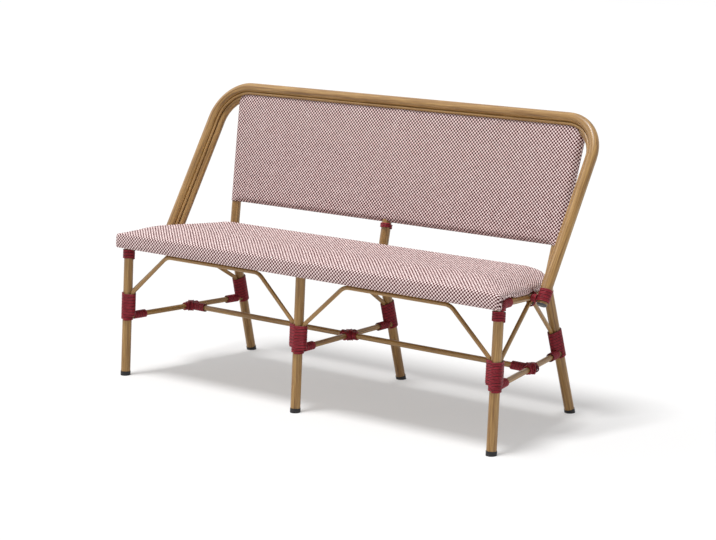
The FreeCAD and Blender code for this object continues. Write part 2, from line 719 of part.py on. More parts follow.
roll_front = -size.seat_overhang
roll_back = -(leg_radius / math.cos(math.radians(seat_tilt)) + size.roll_clearance)
roll = new_body("seat_front_roll",
                axes(front_rail - ACROSS * (size.seat_front_width / 2), seat_back, seat_up))
roll_sketch = new_sketch(roll, "seat_front_roll_profile", "XY_Plane")
roll_low = -size.roll_drop
roll_depth = size.roll_round
lower = Vector(roll_front + roll_depth, roll_low + roll_depth, 0)
roll_lines = [Part.LineSegment(Vector(roll_back, board_top, 0), Vector(roll_front, board_top, 0)),
              Part.LineSegment(Vector(roll_front, board_top, 0), Vector(roll_front, lower.y, 0)),
              Part.ArcOfCircle(Part.Circle(lower, UP, roll_depth), math.pi, 1.5 * math.pi),
              Part.LineSegment(Vector(lower.x, roll_low, 0), Vector(roll_back, roll_low, 0)),
              Part.LineSegment(Vector(roll_back, roll_low, 0), Vector(roll_back, board_top, 0))]
for shape in roll_lines:
    roll_sketch.addGeometry(shape)
for index in range(len(roll_lines)):
    roll_sketch.addConstraint(Sketcher.Constraint("Coincident", index, 2, (index + 1) % len(roll_lines), 1))
roll_pad = roll.newObject("PartDesign::Pad", "seat_front_roll_pad")
roll_pad.Profile = roll_sketch
roll_pad.setExpression("Length", "Sizes.seat_front_width")
keep("seat_front_roll", roll)

# Back: lower rail between the posts, and a front and a rear cloth that meet round the outer posts

cloth_inner = max(leg_radius, inner_radius, size.back_rail_diameter / 2) + size.cloth_clearance
cloth_outer = cloth_inner + size.cloth_thickness
panel_start = (size.panel_bottom_height - bend_corner.z) / post_up.z
panel_origin = bend_corner + post_up * panel_start
back_rail_at = panel_origin + post_up * cloth_outer
for side_name, side in SIDES.items():
    whole = tube(f"lower_back_rail_{side_name}_tube", back_rail_at,
                 back_rail_at + ACROSS * (side * post_x(panel_start + cloth_outer)),
                 "back_rail_diameter", "back_rail_wall")
    keep(f"lower_back_rail_{side_name}", cut(f"lower_back_rail_{side_name}_cut", whole,
                                             [post_bars["centre"], post_bars[side_name]]))

bead_top = hoop_top - arm_up * bead_in + hoop_front * bead_forward
front_cloth_top = (bead_top - panel_origin).dot(post_up) - bead_radius - size.cloth_clearance
rear_cloth_top = (inner_top - panel_origin).dot(post_up)


def back_cloth(label, facing, height, tools):
    """One cloth: flat between the posts, a quarter turn round each outer post, folded under the rail."""
    placement = axes(panel_origin, ACROSS, post_front * -1)
    body = new_body(label + "_sheet", placement)
    quarter = {1: (0, math.pi / 2, math.pi / 2, math.pi),
               -1: (-math.pi / 2, 0, -math.pi, -math.pi / 2)}[facing]
    sections = []
    for name, rise in (("bottom", 0), ("top", height)):
        sketch = new_sketch(body, f"{label}_{name}", "XY_Plane", rise)
        half = post_x(panel_start + rise)
        right = Vector(half, 0, 0)
        left = Vector(-half, 0, 0)
        shapes = []
        for radius in (cloth_outer, cloth_inner):
            shapes.append(Part.ArcOfCircle(Part.Circle(right, UP, radius), *quarter[:2]))
            shapes.append(Part.LineSegment(Vector(half, facing * radius, 0),
                                           Vector(-half, facing * radius, 0)))
            shapes.append(Part.ArcOfCircle(Part.Circle(left, UP, radius), *quarter[2:]))
        shapes.append(Part.LineSegment(Vector(half + cloth_inner, 0, 0), Vector(half + cloth_outer, 0, 0)))
        shapes.append(Part.LineSegment(Vector(-half - cloth_inner, 0, 0), Vector(-half - cloth_outer, 0, 0)))
        for shape in shapes:
            sketch.addGeometry(shape)
        sections.append(sketch)
    loft = body.newObject("PartDesign::AdditiveLoft", label + "_loft")
    loft.Profile = sections[0]
    loft.Sections = sections[1:]
    loft.Ruled = True
    half = post_x(panel_start)
    seam = facing * size.cloth_clearance / 2
    fold = doc.addObject("Part::Box", label + "_fold")
    fold.Length = 2 * (half - cloth_outer)
    fold.Width = cloth_outer - abs(seam)
    fold.setExpression("Height", "Sizes.cloth_thickness")
    fold_y = seam if facing > 0 else -cloth_outer
    fold.Placement = placement.multiply(Placement(Vector(cloth_outer - half, fold_y, 0), Rotation()))
    whole = doc.addObject("Part::MultiFuse", label + "_whole")
    whole.Shapes = [body, fold]
    keep(label, cut(label + "_cut", whole, tools))


centre_post_room = envelope("centre_post_room", panel_origin - post_up * cloth_outer,
                            panel_origin + post_up * cloth_outer,
                            "Sizes.leg_diameter / 2 + Sizes.cloth_clearance")
inner_room = hoop_bar("inner_hoop_room", inner_step, -inner_step, inner_arm,
                      inner_radius + size.cloth_clearance)
cloth_trim = hoop_bar("cloth_trim", 0, 0, inner_arm, bead_to_hoop + bead_radius + size.cloth_clearance)
back_cloth("back_cloth_front", -1, front_cloth_top, [centre_post_room, inner_room, bead_room, cloth_trim])
back_cloth("back_cloth_rear", 1, rear_cloth_top, [centre_post_room, inner_room])


# Cord bindings: one unbroken round cord wound round a bundle of bars

def loop_outline(circles):
    """The tight loop round circles, as (centre, radius, first angle, last angle) arcs in order."""
    if len(circles) == 1:
        (x, y, radius), = circles
        return [(Vector(x, y, 0), radius, 0.0, 2 * math.pi)]
    bridges = []
    for (xa, ya, ra), (xb, yb, rb) in itertools.permutations(circles, 2):
        reach = math.hypot(xb - xa, yb - ya)
        normal = math.atan2(yb - ya, xb - xa) - math.acos((ra - rb) / reach)
        here = xa * math.cos(normal) + ya * math.sin(normal) + ra
        others = [x * math.cos(normal) + y * math.sin(normal) + r for x, y, r in circles]
        if max(others) <= here + 1e-9:
            bridges.append((normal % (2 * math.pi), Vector(xb, yb, 0), rb))
    bridges.sort(key=lambda bridge: bridge[0])
    arcs = []
    for index, (first, centre, radius) in enumerate(bridges):
        last = bridges[(index + 1) % len(bridges)][0]
        arcs.append((centre, radius, first, last if last > first else last + 2 * math.pi))
    return arcs


def biarc(start, start_way, end, end_way):
    """Two tangent arcs between two points with given directions."""
    span = end - start
    both = start_way + end_way
    bend = 2 * (1 - start_way.dot(end_way))
    tilt = span.dot(both)
    handle = (math.sqrt(tilt * tilt + bend * span.dot(span)) - tilt) / bend
    joint = (start + end + (start_way - end_way) * handle) * 0.5
    edges = []
    for first, last, control in ((start, joint, start + start_way * handle),
                                 (joint, end, end - end_way * handle)):
        middle = (first + last) * 0.5
        half_angle = (control - first).getAngle(last - first)
        rise = math.tan(half_angle / 2) / math.tan(half_angle)
        edges.append(Part.Arc(first, middle + (control - middle) * rise, last).toShape())
    return edges


def wound_cord(name, circles, turns):
    """A cord wound up the local Z axis round bars (x, y, radius), its ends straight for one diameter."""
    stand_off = cord_radius + size.cord_clearance
    arcs = loop_outline([(x, y, radius + stand_off) for x, y, radius in circles])

    def at(arc, angle):
        centre, radius = arc[:2]
        return centre + Vector(math.cos(angle), math.sin(angle), 0) * radius

    bridges = [(at(arc, arc[3]), at(following, following[2]))
               for arc, following in zip(arcs, arcs[1:] + arcs[:1])]
    loop_length = sum((end - start).Length for start, end in bridges)
    loop_length += sum(radius * (last - first) for _, radius, first, last in arcs)
    slope = cord_pitch / loop_length

    def way(angle):
        return Vector(-math.sin(angle), math.cos(angle), slope).normalize()

    edges = []
    travelled = 0.0
    point = at(arcs[0], arcs[0][2])
    edges.append(Part.LineSegment(point - way(arcs[0][2]) * size.cord_diameter, point).toShape())
    for _ in range(round(turns)):
        for arc, (leave, land) in zip(arcs, bridges):
            _, radius, first, last = arc
            pieces = max(1, math.ceil((last - first) / math.pi - 1e-9))
            step = (last - first) / pieces
            for piece in range(pieces):
                angle = first + piece * step
                travelled += radius * step
                target = at(arc, angle + step) + UP * (travelled * slope)
                edges.extend(biarc(point, way(angle), target, way(angle + step)))
                point = target
            bridge = (land - leave).Length
            if bridge > 1e-6:
                travelled += bridge
                target = land + UP * (travelled * slope)
                edges.append(Part.LineSegment(point, target).toShape())
                point = target
    edges.append(Part.LineSegment(point, point + way(arcs[-1][3]) * size.cord_diameter).toShape())
    route = Part.Wire(edges)
    print(f"{name}: least gap of the cord to itself {least_gap(route, loop_length):.2f} mm")
    start = edges[0].Vertexes[0].Point
    section = Part.Wire([Part.Circle(start, way(arcs[0][2]), cord_radius).toShape()])
    return route.makePipeShell([section], True, False)


def least_gap(route, loop_length):
    """The least clear distance between points of the cord half a loop or more apart."""
    spacing = cord_radius
    points = route.discretize(Distance=spacing)
    half_loop = int(loop_length / spacing / 2)
    reach = int(loop_length / spacing * 1.5)
    nearest = math.inf
    for index, point in enumerate(points):
        for other in points[index + half_loop:index + reach]:
            nearest = min(nearest, point.distanceToPoint(other))
    return nearest - size.cord_diameter


def binding(label, windings):
    """One node of one or more wound cords, each given by its placement, bars and turns."""
    cords = []
    for placement, circles, turns in windings:
        cord = wound_cord(label, circles, turns)
        cord.Placement = placement
        cords.append(cord)
    feature = doc.addObject("Part::Feature", label)
    feature.Shape = cords[0] if len(cords) == 1 else Part.makeCompound(cords)
    keep(label, feature)


def level(start, direction):
    """A winding's placement along a bar, its local X kept level."""
    side_way = UP.cross(direction) if abs(direction.z) < 0.9 else ACROSS
    z_axis = direction / direction.Length
    x_axis = (side_way - z_axis * side_way.dot(z_axis)).normalize()
    return axes(start, x_axis, z_axis.cross(x_axis))


bundle_reach = arch_offset + arch_radius + size.cord_diameter + size.cord_clearance


def binding_start(rake):
    """The height on a leg's axis where its binding clears the stretcher below the leaning bundle."""
    tilt_drop = bundle_reach * math.sin(math.radians(rake))
    wrapped = 1.5 * size.cord_diameter + 2 * size.cord_clearance
    return size.stretcher_height + stretcher_radius + wrapped + tilt_drop


for row_name, row_side in ROWS.items():
    front_bundle = [(0, 0, leg_radius)]
    if row_side:
        front_bundle.append((0, arch_offset, arch_radius))
    front_bundle += [(side * arch_offset, 0, arch_radius) for side in (-1, 1) if side != row_side]
    front_base = front_axis(row_side * front_leg_x, binding_start(size.front_leg_rake))
    binding(f"front_leg_binding_{row_name}",
            [(level(front_base, front_up), front_bundle, size.front_binding_turns)])
    rear_base = rear_axis(row_side * rear_leg_x, binding_start(size.rear_leg_rake))
    binding(f"rear_leg_binding_{row_name}",
            [(level(rear_base, rear_way(row_side)), [(0, 0, leg_radius), (0, -arch_offset, arch_radius)],
              size.rear_binding_turns)])

stretcher_bar = [(0, 0, stretcher_radius)]
end_windings = []
for row_name in ROWS:
    start, end = stretcher_ends[row_name]
    run = (end - start).normalize()
    for base, way_in in ((start, run), (end, run * -1)):
        end_windings.append((level(base + way_in * (bundle_reach + size.cord_diameter), way_in),
                             stretcher_bar, size.stretcher_binding_turns))
binding("stretcher_end_bindings", end_windings)

wrapped_radius = stretcher_radius + size.cord_diameter + size.cord_clearance
for row_name, row_side in ROWS.items():
    centre = stretcher_crossing(row_name)
    start, end = stretcher_ends[row_name]
    run = (end - start).normalize()
    clear = stretcher_radius + size.cord_diameter + 2 * size.cord_clearance
    crossing = [(level(centre + way_out * clear, way_out), stretcher_bar, size.crossing_binding_turns)
                for way_out in (run, run * -1)]
    for side in (-1, 1):
        if side != row_side:
            crossing.append((level(centre + ACROSS * (side * (wrapped_radius + size.cord_diameter)),
                                   ACROSS * side), stretcher_bar, size.crossing_binding_turns))
    binding(f"stretcher_crossing_binding_{row_name}", crossing)

rail_bar = [(0, 0, rail_radius)]
for side_name, side in SIDES.items():
    corner = on_seat(side * front_leg_x, 0)
    rail_way = (on_seat(side * side_rail_x(seat_run), seat_run) - corner).normalize()
    drop = rail_radius + 2 * size.cord_diameter + size.corner_leg_turns * cord_pitch
    leg_base = front_axis(side * front_leg_x, size.front_rail_height) - front_up * drop
    binding(f"seat_corner_binding_{side_name}",
            [(level(leg_base, front_up), [(0, 0, leg_radius)], size.corner_leg_turns),
             (level(corner + rail_way * (leg_radius + size.cord_diameter), rail_way), rail_bar,
              size.corner_rail_turns)])
    arm_base = (hoop_top + ACROSS * (side * hoop_x) - arm_up * (arm_cross - arm_binding_start))
    binding(f"arm_binding_{side_name}",
            [(axes(arm_base, ACROSS, hoop_front * -1), [(0, 0, hoop_radius)], size.arm_binding_turns)])

arch_windings = []
arch_bundle = [(0, 0, rail_radius),
               (0, -(rail_radius + arch_radius + size.touch_gap), arch_radius + cord_radius / 2)]
for side in SIDES.values():
    half_length = size.arch_binding_turns * cord_pitch / 2
    low_y = size.side_arch_setback - half_length
    base = on_seat(side * side_rail_x(low_y), low_y)
    ahead = (on_seat(side * side_rail_x(seat_run), seat_run) - base).normalize()
    arch_windings.append((axes(base, seat_up.cross(ahead), seat_up), arch_bundle, size.arch_binding_turns))
binding("arch_top_bindings", arch_windings)

post_base = panel_origin - post_up * (size.cord_diameter + size.post_binding_turns * cord_pitch)
binding("centre_post_binding", [(level(post_base, post_up), [(0, 0, leg_radius)], size.post_binding_turns)])


# Checks and export

doc.recompute()
failed = [item.Name for item in doc.Objects if {"Invalid", "Error"} & set(item.State)]
if failed:
    raise RuntimeError(f"failed objects: {failed}")
for label, item in nodes.items():
    if item.Shape.isNull() or not item.Shape.isValid() or not item.Shape.Solids:
        raise RuntimeError(f"bad shape: {label}")

os.makedirs("parts", exist_ok=True)
for label, item in nodes.items():
    item.Shape.exportStep(f"parts/{label}.step")
print(f"{len(nodes)} sub-parts written")
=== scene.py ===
import json
import math

import bmesh
import bpy
import numpy as np
from mathutils import Matrix, Vector


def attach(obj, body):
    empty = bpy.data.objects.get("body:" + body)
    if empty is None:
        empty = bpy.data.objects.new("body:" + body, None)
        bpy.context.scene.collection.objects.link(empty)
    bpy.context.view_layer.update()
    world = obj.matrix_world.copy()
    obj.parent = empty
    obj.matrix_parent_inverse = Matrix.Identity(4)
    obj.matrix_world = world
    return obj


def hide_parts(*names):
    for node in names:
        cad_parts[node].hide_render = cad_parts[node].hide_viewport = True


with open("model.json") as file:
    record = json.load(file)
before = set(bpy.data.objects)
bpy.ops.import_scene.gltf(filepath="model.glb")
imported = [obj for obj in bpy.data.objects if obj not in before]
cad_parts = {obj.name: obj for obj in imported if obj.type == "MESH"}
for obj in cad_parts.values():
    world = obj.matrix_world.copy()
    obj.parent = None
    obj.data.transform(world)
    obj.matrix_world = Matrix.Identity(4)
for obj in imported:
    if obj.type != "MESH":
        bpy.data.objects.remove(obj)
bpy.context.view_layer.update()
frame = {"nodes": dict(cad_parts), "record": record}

nodes = frame["nodes"]
scene = bpy.context.scene

# The bench's own sizes in millimetres, as in the part's source
LEG_R, RAIL_R, ARCH_R, STRETCHER_R = 14.0, 10.0, 6.0, 8.0
HOOP_R, INNER_R, BEAD_R = 14.0, 12.5, 4.25
FRONT_LEG_X, REAR_LEG_X, HOOP_X = 676.0, 583.0, 695.0
HALF_SPREAD, FRONT_RAKE, REAR_RAKE, ARM_RAKE = 241.5, 4.1, 14.6, 32.0
SPLAY, LEG_SPLAY = math.tan(math.radians(4.7)), math.tan(math.radians(2.8))
FRONT_RAIL_Z, REAR_RAIL_Z, REAR_BEND, STRETCHER_Z = 398.0, 371.0, 80.0, 179.0
HOOP_TOP = np.array([0.0, 240.0, 831.0])
HOOP_CORNER, BOSS_R, BOSS_GAP, ARCH_SETBACK, TOUCH = 112.0, 4.0, 24.0, 194.0, 0.1
CORD_R, CORD_PITCH, CORD_GAP = 2.0, 4.5, 0.3
PANEL_Z, CLOTH_IN, CLOTH_OUT = 485.0, 14.3, 15.9
SEAT_HALF, SEAT_TAPER, SEAT_FRONT, SEAT_CORNER = 700.0, 130.0, -38.0, 105.0
CELL_ACROSS, CELL_ALONG = 5.5, 5.2
ROWS = {"left": -1, "centre": 0, "right": 1}
SIDES = {"left": -1, "right": 1}
X = np.array([1.0, 0.0, 0.0])
UP = np.array([0.0, 0.0, 1.0])


def unit(v):
    return v / np.linalg.norm(v)


def lean(angle):
    return np.array([0.0, math.sin(math.radians(angle)), math.cos(math.radians(angle))])


def ease(value):
    value = np.clip(value, 0.0, 1.0)
    return value * value * (3 - 2 * value)


# Derived axes and places

front_up, rear_up, arm_up = lean(FRONT_RAKE), lean(-REAR_RAKE), lean(ARM_RAKE)
hoop_front = np.cross(X, arm_up)


def front_axis(x, height):
    return np.array([x, -HALF_SPREAD, 0.0]) + front_up * (height / front_up[2])


def rear_way(side):
    return unit(rear_up / rear_up[2] - X * (side * LEG_SPLAY))


def rear_axis(side, height):
    across = side * (REAR_LEG_X + LEG_SPLAY * (REAR_RAIL_Z - height))
    return np.array([across, HALF_SPREAD, 0.0]) + rear_up * (height / rear_up[2])


hoop_pitch = HOOP_R + INNER_R + TOUCH
inner_step = hoop_pitch / math.sqrt(2)
to_hoop, to_inner = HOOP_R + BEAD_R + TOUCH, INNER_R + BEAD_R + TOUCH
bead_along = (to_hoop ** 2 - to_inner ** 2 + hoop_pitch ** 2) / (2 * hoop_pitch)
bead_aside = math.sqrt(to_hoop ** 2 - bead_along ** 2)
bead_in = (bead_along + bead_aside) / math.sqrt(2)
bead_forward = (bead_aside - bead_along) / math.sqrt(2)
inner_top = HOOP_TOP - (arm_up + hoop_front) * inner_step
bend_corner = rear_axis(0, REAR_RAIL_Z)
post_up = unit(inner_top - bend_corner)
post_front = np.array([0.0, -post_up[2], post_up[1]])
half_turn = math.acos(post_up @ rear_up) / 2
bend_centre = bend_corner + unit(post_up - rear_up) * (REAR_BEND / math.cos(half_turn))
front_rail = front_axis(0, FRONT_RAIL_Z)
rear_rail = np.array([0.0, bend_centre[1] - REAR_BEND - LEG_R - RAIL_R - TOUCH, REAR_RAIL_Z])
seat_run = np.linalg.norm(rear_rail - front_rail)
seat_back = unit(rear_rail - front_rail)
seat_up = np.cross(X, seat_back)
arm_cross = (HOOP_TOP - front_rail) @ seat_up / (arm_up @ seat_up)
arm_cross_y = (HOOP_TOP - arm_up * arm_cross - front_rail) @ seat_back
side_slant = math.atan2(FRONT_LEG_X - (HOOP_X - HOOP_R - RAIL_R - BOSS_GAP), arm_cross_y)
panel_start = (PANEL_Z - bend_corner[2]) / post_up[2]
panel_origin = bend_corner + post_up * panel_start


def on_seat(x, y, rise=0.0):
    return front_rail + X * x + seat_back * y + seat_up * rise


def side_rail_x(y):
    return FRONT_LEG_X - y * math.tan(side_slant)


def placement(origin, x_axis, y_axis):
    """A frame in metres from an origin in millimetres and two square directions."""
    z_axis = np.cross(x_axis, y_axis)
    m = np.eye(4)
    m[:3, 0], m[:3, 1], m[:3, 2], m[:3, 3] = x_axis, y_axis, z_axis, np.asarray(origin) * 0.001
    return Matrix([list(row) for row in m])


# Node materials

class Shader:
    """A node tree with one Principled shader, built a node at a time."""

    def __init__(self, name):
        self.material = bpy.data.materials.new(name)
        self.material.use_nodes = True
        self.tree = self.material.node_tree
        self.tree.nodes.clear()
        self.out = self.tree.nodes.new("ShaderNodeOutputMaterial")
        self.surface = self.tree.nodes.new("ShaderNodeBsdfPrincipled")
        self.link(self.surface.outputs[0], self.out.inputs["Surface"])

    def link(self, source, target):
        self.tree.links.new(source, target)

    def feed(self, socket, value):
        if isinstance(value, bpy.types.NodeSocket):
            self.link(value, socket)
        elif value is not None:
            socket.default_value = value

    def math(self, operation, a, b=None, c=None):
        node = self.tree.nodes.new("ShaderNodeMath")
        node.operation = operation
        for socket, value in zip(node.inputs, (a, b, c)):
            self.feed(socket, value)
        return node.outputs[0]

    def vector(self, operation, a, b=None, scale=None):
        node = self.tree.nodes.new("ShaderNodeVectorMath")
        node.operation = operation
        self.feed(node.inputs[0], a)
        self.feed(node.inputs[1], b)
        if scale is not None:
            self.feed(node.inputs["Scale"], scale)
        return node.outputs[0]

    def noise(self, vector, scale, detail=3.0, rough=0.5):
        node = self.tree.nodes.new("ShaderNodeTexNoise")
        self.feed(node.inputs["Vector"], vector)
        node.inputs["Scale"].default_value = scale
        node.inputs["Detail"].default_value = detail
        node.inputs["Roughness"].default_value = rough
        return node.outputs["Fac"]

    def ramp(self, value, stops):
        node = self.tree.nodes.new("ShaderNodeValToRGB")
        points = node.color_ramp.elements
        while len(points) < len(stops):
            points.new(0.5)
        for point, (place, colour) in zip(points, stops):
            point.position = place
            point.color = (*colour, 1.0)
        self.link(value, node.inputs[0])
        return node.outputs[0]

    def mix(self, factor, a, b):
        node = self.tree.nodes.new("ShaderNodeMix")
        node.data_type = "RGBA"
        self.feed(node.inputs["Factor"], factor)
        for socket, value in zip((node.inputs[6], node.inputs[7]), (a, b)):
            self.feed(socket, (*value, 1.0) if isinstance(value, tuple) else value)
        return node.outputs[2]

    def span(self, value, low, high, to_low, to_high):
        node = self.tree.nodes.new("ShaderNodeMapRange")
        self.feed(node.inputs[0], value)
        for socket, number in zip(node.inputs[1:5], (low, high, to_low, to_high)):
            socket.default_value = number
        return node.outputs[0]

    def position(self):
        return self.tree.nodes.new("ShaderNodeNewGeometry").outputs["Position"]

    def normal(self):
        return self.tree.nodes.new("ShaderNodeNewGeometry").outputs["Normal"]

    def uv(self):
        return self.tree.nodes.new("ShaderNodeTexCoord").outputs["UV"]

    def bump(self, height, strength, distance):
        node = self.tree.nodes.new("ShaderNodeBump")
        node.inputs["Strength"].default_value = strength
        node.inputs["Distance"].default_value = distance
        self.link(height, node.inputs["Height"])
        self.link(node.outputs[0], self.surface.inputs["Normal"])

    def set(self, **values):
        for name, value in values.items():
            self.feed(self.surface.inputs[name.replace("_", " ")], value)


def linear(r, g, b):
    """A colour written as it shows on screen, 0 to 255."""
    channel = [v / 255 for v in (r, g, b)]
    return tuple(v / 12.92 if v <= 0.04045 else ((v + 0.055) / 1.055) ** 2.4 for v in channel)


def bamboo_paint():
    """Satin tan paint with brown streaks along each tube: a tube's normal is the same all along it."""
    s = Shader("bamboo_paint")
    place = s.position()
    drift = s.vector("SCALE", place, scale=2.2)
    broad = s.noise(s.vector("ADD", s.normal(), drift), 2.6, 3.0, 0.55)
    close_round = s.vector("SCALE", s.normal(), scale=4.5)
    fine = s.noise(s.vector("ADD", close_round, s.vector("SCALE", place, scale=9.0)), 2.4, 4.0, 0.6)
    streak = s.math("ADD", s.math("MULTIPLY", broad, 0.6), s.math("MULTIPLY", fine, 0.4))
    colour = s.ramp(streak, [(0.30, linear(92, 60, 26)), (0.43, linear(138, 100, 50)),
                             (0.55, linear(166, 127, 71)), (0.70, linear(200, 162, 104))])
    fleck = s.span(s.noise(place, 420.0, 2.0), 0.62, 0.72, 0.0, 0.35)
    colour = s.mix(fleck, colour, linear(96, 66, 34))
    s.set(Base_Color=colour, Roughness=s.span(fine, 0.3, 0.7, 0.34, 0.46), Specular_IOR_Level=0.5)
    s.surface.inputs["Coat Weight"].default_value = 0.15
    s.surface.inputs["Coat Roughness"].default_value = 0.25
    s.bump(s.math("ADD", fine, s.math("MULTIPLY", s.noise(place, 900.0, 2.0), 0.3)), 0.12, 0.0006)
    return s.material


def woven_check():
    """Plain weave of pale warp and burgundy weft: each strand a soft ridge with fine fibre lines, and
    painted shade darkening each strand towards its edges where the strands meet.
    """
    s = Shader("woven_check")
    parts = s.tree.nodes.new("ShaderNodeSeparateXYZ")
    s.link(s.uv(), parts.inputs[0])
    across = s.math("DIVIDE", parts.outputs[0], CELL_ACROSS * 0.001)
    along = s.math("DIVIDE", parts.outputs[1], CELL_ALONG * 0.001)
    total = s.math("ADD", s.math("FLOOR", across), s.math("FLOOR", along))
    weft = s.math("FLOORED_MODULO", total, 2.0)
    inside_u = s.math("SUBTRACT", s.math("MULTIPLY", s.math("FRACT", across), 2.0), 1.0)
    inside_v = s.math("SUBTRACT", s.math("MULTIPLY", s.math("FRACT", along), 2.0), 1.0)
    cross = s.math("ADD", s.math("MULTIPLY", inside_v, weft),
                   s.math("MULTIPLY", inside_u, s.math("SUBTRACT", 1.0, weft)))
    run = s.math("ADD", s.math("MULTIPLY", inside_u, weft),
                 s.math("MULTIPLY", inside_v, s.math("SUBTRACT", 1.0, weft)))
    ridge = s.math("SUBTRACT", 1.0, s.math("POWER", s.math("ABSOLUTE", cross), 4.0))
    arch = s.math("SUBTRACT", 1.0, s.math("POWER", s.math("ABSOLUTE", run), 2.0))
    fibre = s.math("SINE", s.math("MULTIPLY", cross, 14.0))
    place = s.position()
    tone = s.noise(place, 60.0, 3.0)
    strand = s.noise(place, 900.0, 2.0)
    pale = s.ramp(tone, [(0.3, linear(248, 222, 219)), (0.7, linear(255, 238, 235))])
    dark = s.ramp(tone, [(0.3, linear(56, 6, 14)), (0.7, linear(74, 12, 20))])
    colour = s.mix(weft, pale, dark)
    # painted shade: each strand's colour is darkened towards its edges, where it meets the next strand
    edge = s.span(s.math("MULTIPLY", ridge, arch), 0.0, 0.5, 0.6, 0.0)
    colour = s.mix(edge, colour, s.mix(weft, linear(190, 130, 128), linear(44, 8, 14)))
    colour = s.mix(s.span(strand, 0.35, 0.75, 0.0, 0.10), colour, linear(150, 90, 90))
    height = s.math("ADD", s.math("MULTIPLY", ridge, 0.6), s.math("MULTIPLY", arch, 0.8))
    height = s.math("ADD", height, s.math("MULTIPLY", fibre, 0.05))
    s.set(Base_Color=colour, Roughness=s.span(strand, 0.3, 0.7, 0.5, 0.66), Specular_IOR_Level=0.18)
    s.surface.inputs["Sheen Weight"].default_value = 0.02
    s.surface.inputs["Sheen Roughness"].default_value = 0.5
    s.bump(height, 0.55, 0.0007)
    return s.material


def burgundy_cord():
    """Smooth synthetic cord laid in pairs, with painted shade in the groove between one pair and the next.
    """
    s = Shader("burgundy_cord")
    place = s.position()
    parts = s.tree.nodes.new("ShaderNodeSeparateXYZ")
    s.link(s.uv(), parts.inputs[0])
    odd = s.math("FLOORED_MODULO", s.math("FLOOR", parts.outputs[0]), 2.0)
    outer = s.math("MULTIPLY", parts.outputs[1], s.math("SUBTRACT", s.math("MULTIPLY", odd, 2.0), 1.0))
    # painted shade: the cord's colour darkens towards its sides in the groove between one pair and the next
    painted_groove_shade = s.span(outer, 0.15, 0.9, 0.0, 0.85)
    tone = s.noise(place, 90.0, 4.0, 0.6)
    grain = s.noise(place, 1400.0, 3.0)
    colour = s.ramp(tone, [(0.3, linear(122, 24, 36)), (0.55, linear(146, 35, 48)),
                           (0.75, linear(164, 50, 62))])
    colour = s.mix(painted_groove_shade, colour, linear(52, 12, 20))
    s.set(Base_Color=colour, Roughness=s.span(grain, 0.3, 0.7, 0.42, 0.58), Specular_IOR_Level=0.28)
    s.bump(s.math("ADD", grain, tone), 0.15, 0.0004)
    return s.material


def moulded(name, dark, light, rough_low, rough_high):
    """Moulded rubber or plastic with a fine grain and dusty high spots."""
    s = Shader(name)
    place = s.position()
    grain = s.noise(place, 1600.0, 3.0)
    dust = s.noise(place, 70.0, 4.0, 0.65)
    s.set(Base_Color=s.ramp(dust, [(0.35, dark), (0.75, light)]),
          Roughness=s.span(dust, 0.3, 0.7, rough_low, rough_high), Specular_IOR_Level=0.4)
    s.bump(grain, 0.2, 0.0003)
    return s.material


def plywood():
    """Pale plywood with grain along the bench."""
    s = Shader("plywood")
    stretched = s.vector("MULTIPLY", s.position(), (3.0, 60.0, 240.0))
    grain = s.noise(stretched, 1.6, 5.0, 0.6)
    s.set(Base_Color=s.ramp(grain, [(0.3, linear(126, 98, 66)), (0.55, linear(170, 138, 98)),
                                    (0.75, linear(190, 160, 118))]),
          Roughness=s.span(grain, 0.3, 0.7, 0.55, 0.75))
    s.bump(grain, 0.2, 0.0006)
    return s.material


paint = bamboo_paint()
weave = woven_check()
cord_finish = burgundy_cord()
rubber = moulded("foot_rubber", linear(20, 20, 22), linear(46, 45, 46), 0.5, 0.7)
cap_plastic = moulded("cap_plastic", linear(34, 34, 38), linear(84, 84, 90), 0.28, 0.42)
board_wood = plywood()
finishes = {"frame_tube": paint, "foot_plug": rubber, "end_cap": cap_plastic, "seat_board": board_wood,
            "woven_fabric": weave, "binding_cord": cord_finish}
for part in frame["record"]["subparts"]:
    data = nodes[part["node"]].data
    data.materials.clear()
    data.materials.append(finishes[part["material_slot"]])


# Building pieces

def piece(name, verts_mm, faces, finish, replaced, uv=None, matrix=None):
    """A named mesh piece that rides with the bench and stands for CAD nodes."""
    mesh = bpy.data.meshes.new(name)
    mesh.from_pydata([tuple(v) for v in np.asarray(verts_mm) * 0.001], [], [tuple(f) for f in faces])
    if uv is not None:
        layer = mesh.uv_layers.new(name="cloth")
        loops = np.empty(len(mesh.loops), dtype=np.int32)
        mesh.loops.foreach_get("vertex_index", loops)
        layer.data.foreach_set("uv", (np.asarray(uv)[loops] * 0.001).astype(np.float32).ravel())
    mesh.polygons.foreach_set("use_smooth", [True] * len(mesh.polygons))
    mesh.materials.append(finish)
    mesh.update()
    made = bpy.data.objects.new(name, mesh)
    scene.collection.objects.link(made)
    if matrix is not None:
        made.matrix_world = matrix
    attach(made, "root")
    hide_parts(*replaced)
    return made


# Cord bindings

def loop_arcs(circles):
    """The tight loop round circles, as (centre, radius, first angle, last angle) in order."""
    if len(circles) == 1:
        x, y, r = circles[0]
        return [(np.array([x, y]), r, 0.0, 2 * math.pi)]
    bridges = []
    for i, (xa, ya, ra) in enumerate(circles):
        for j, (xb, yb, rb) in enumerate(circles):
            if i == j:
                continue
            reach = math.hypot(xb - xa, yb - ya)
            normal = math.atan2(yb - ya, xb - xa) - math.acos((ra - rb) / reach)
            support = [x * math.cos(normal) + y * math.sin(normal) + r for x, y, r in circles]
            if max(support) <= support[i] + 1e-9:
                bridges.append((normal % (2 * math.pi), np.array([xb, yb]), rb))
    bridges.sort(key=lambda bridge: bridge[0])
    arcs = []
    for index, (first, centre, radius) in enumerate(bridges):
        last = bridges[(index + 1) % len(bridges)][0]
        arcs.append((centre, radius, first, last if last > first else last + 2 * math.pi))
    return arcs


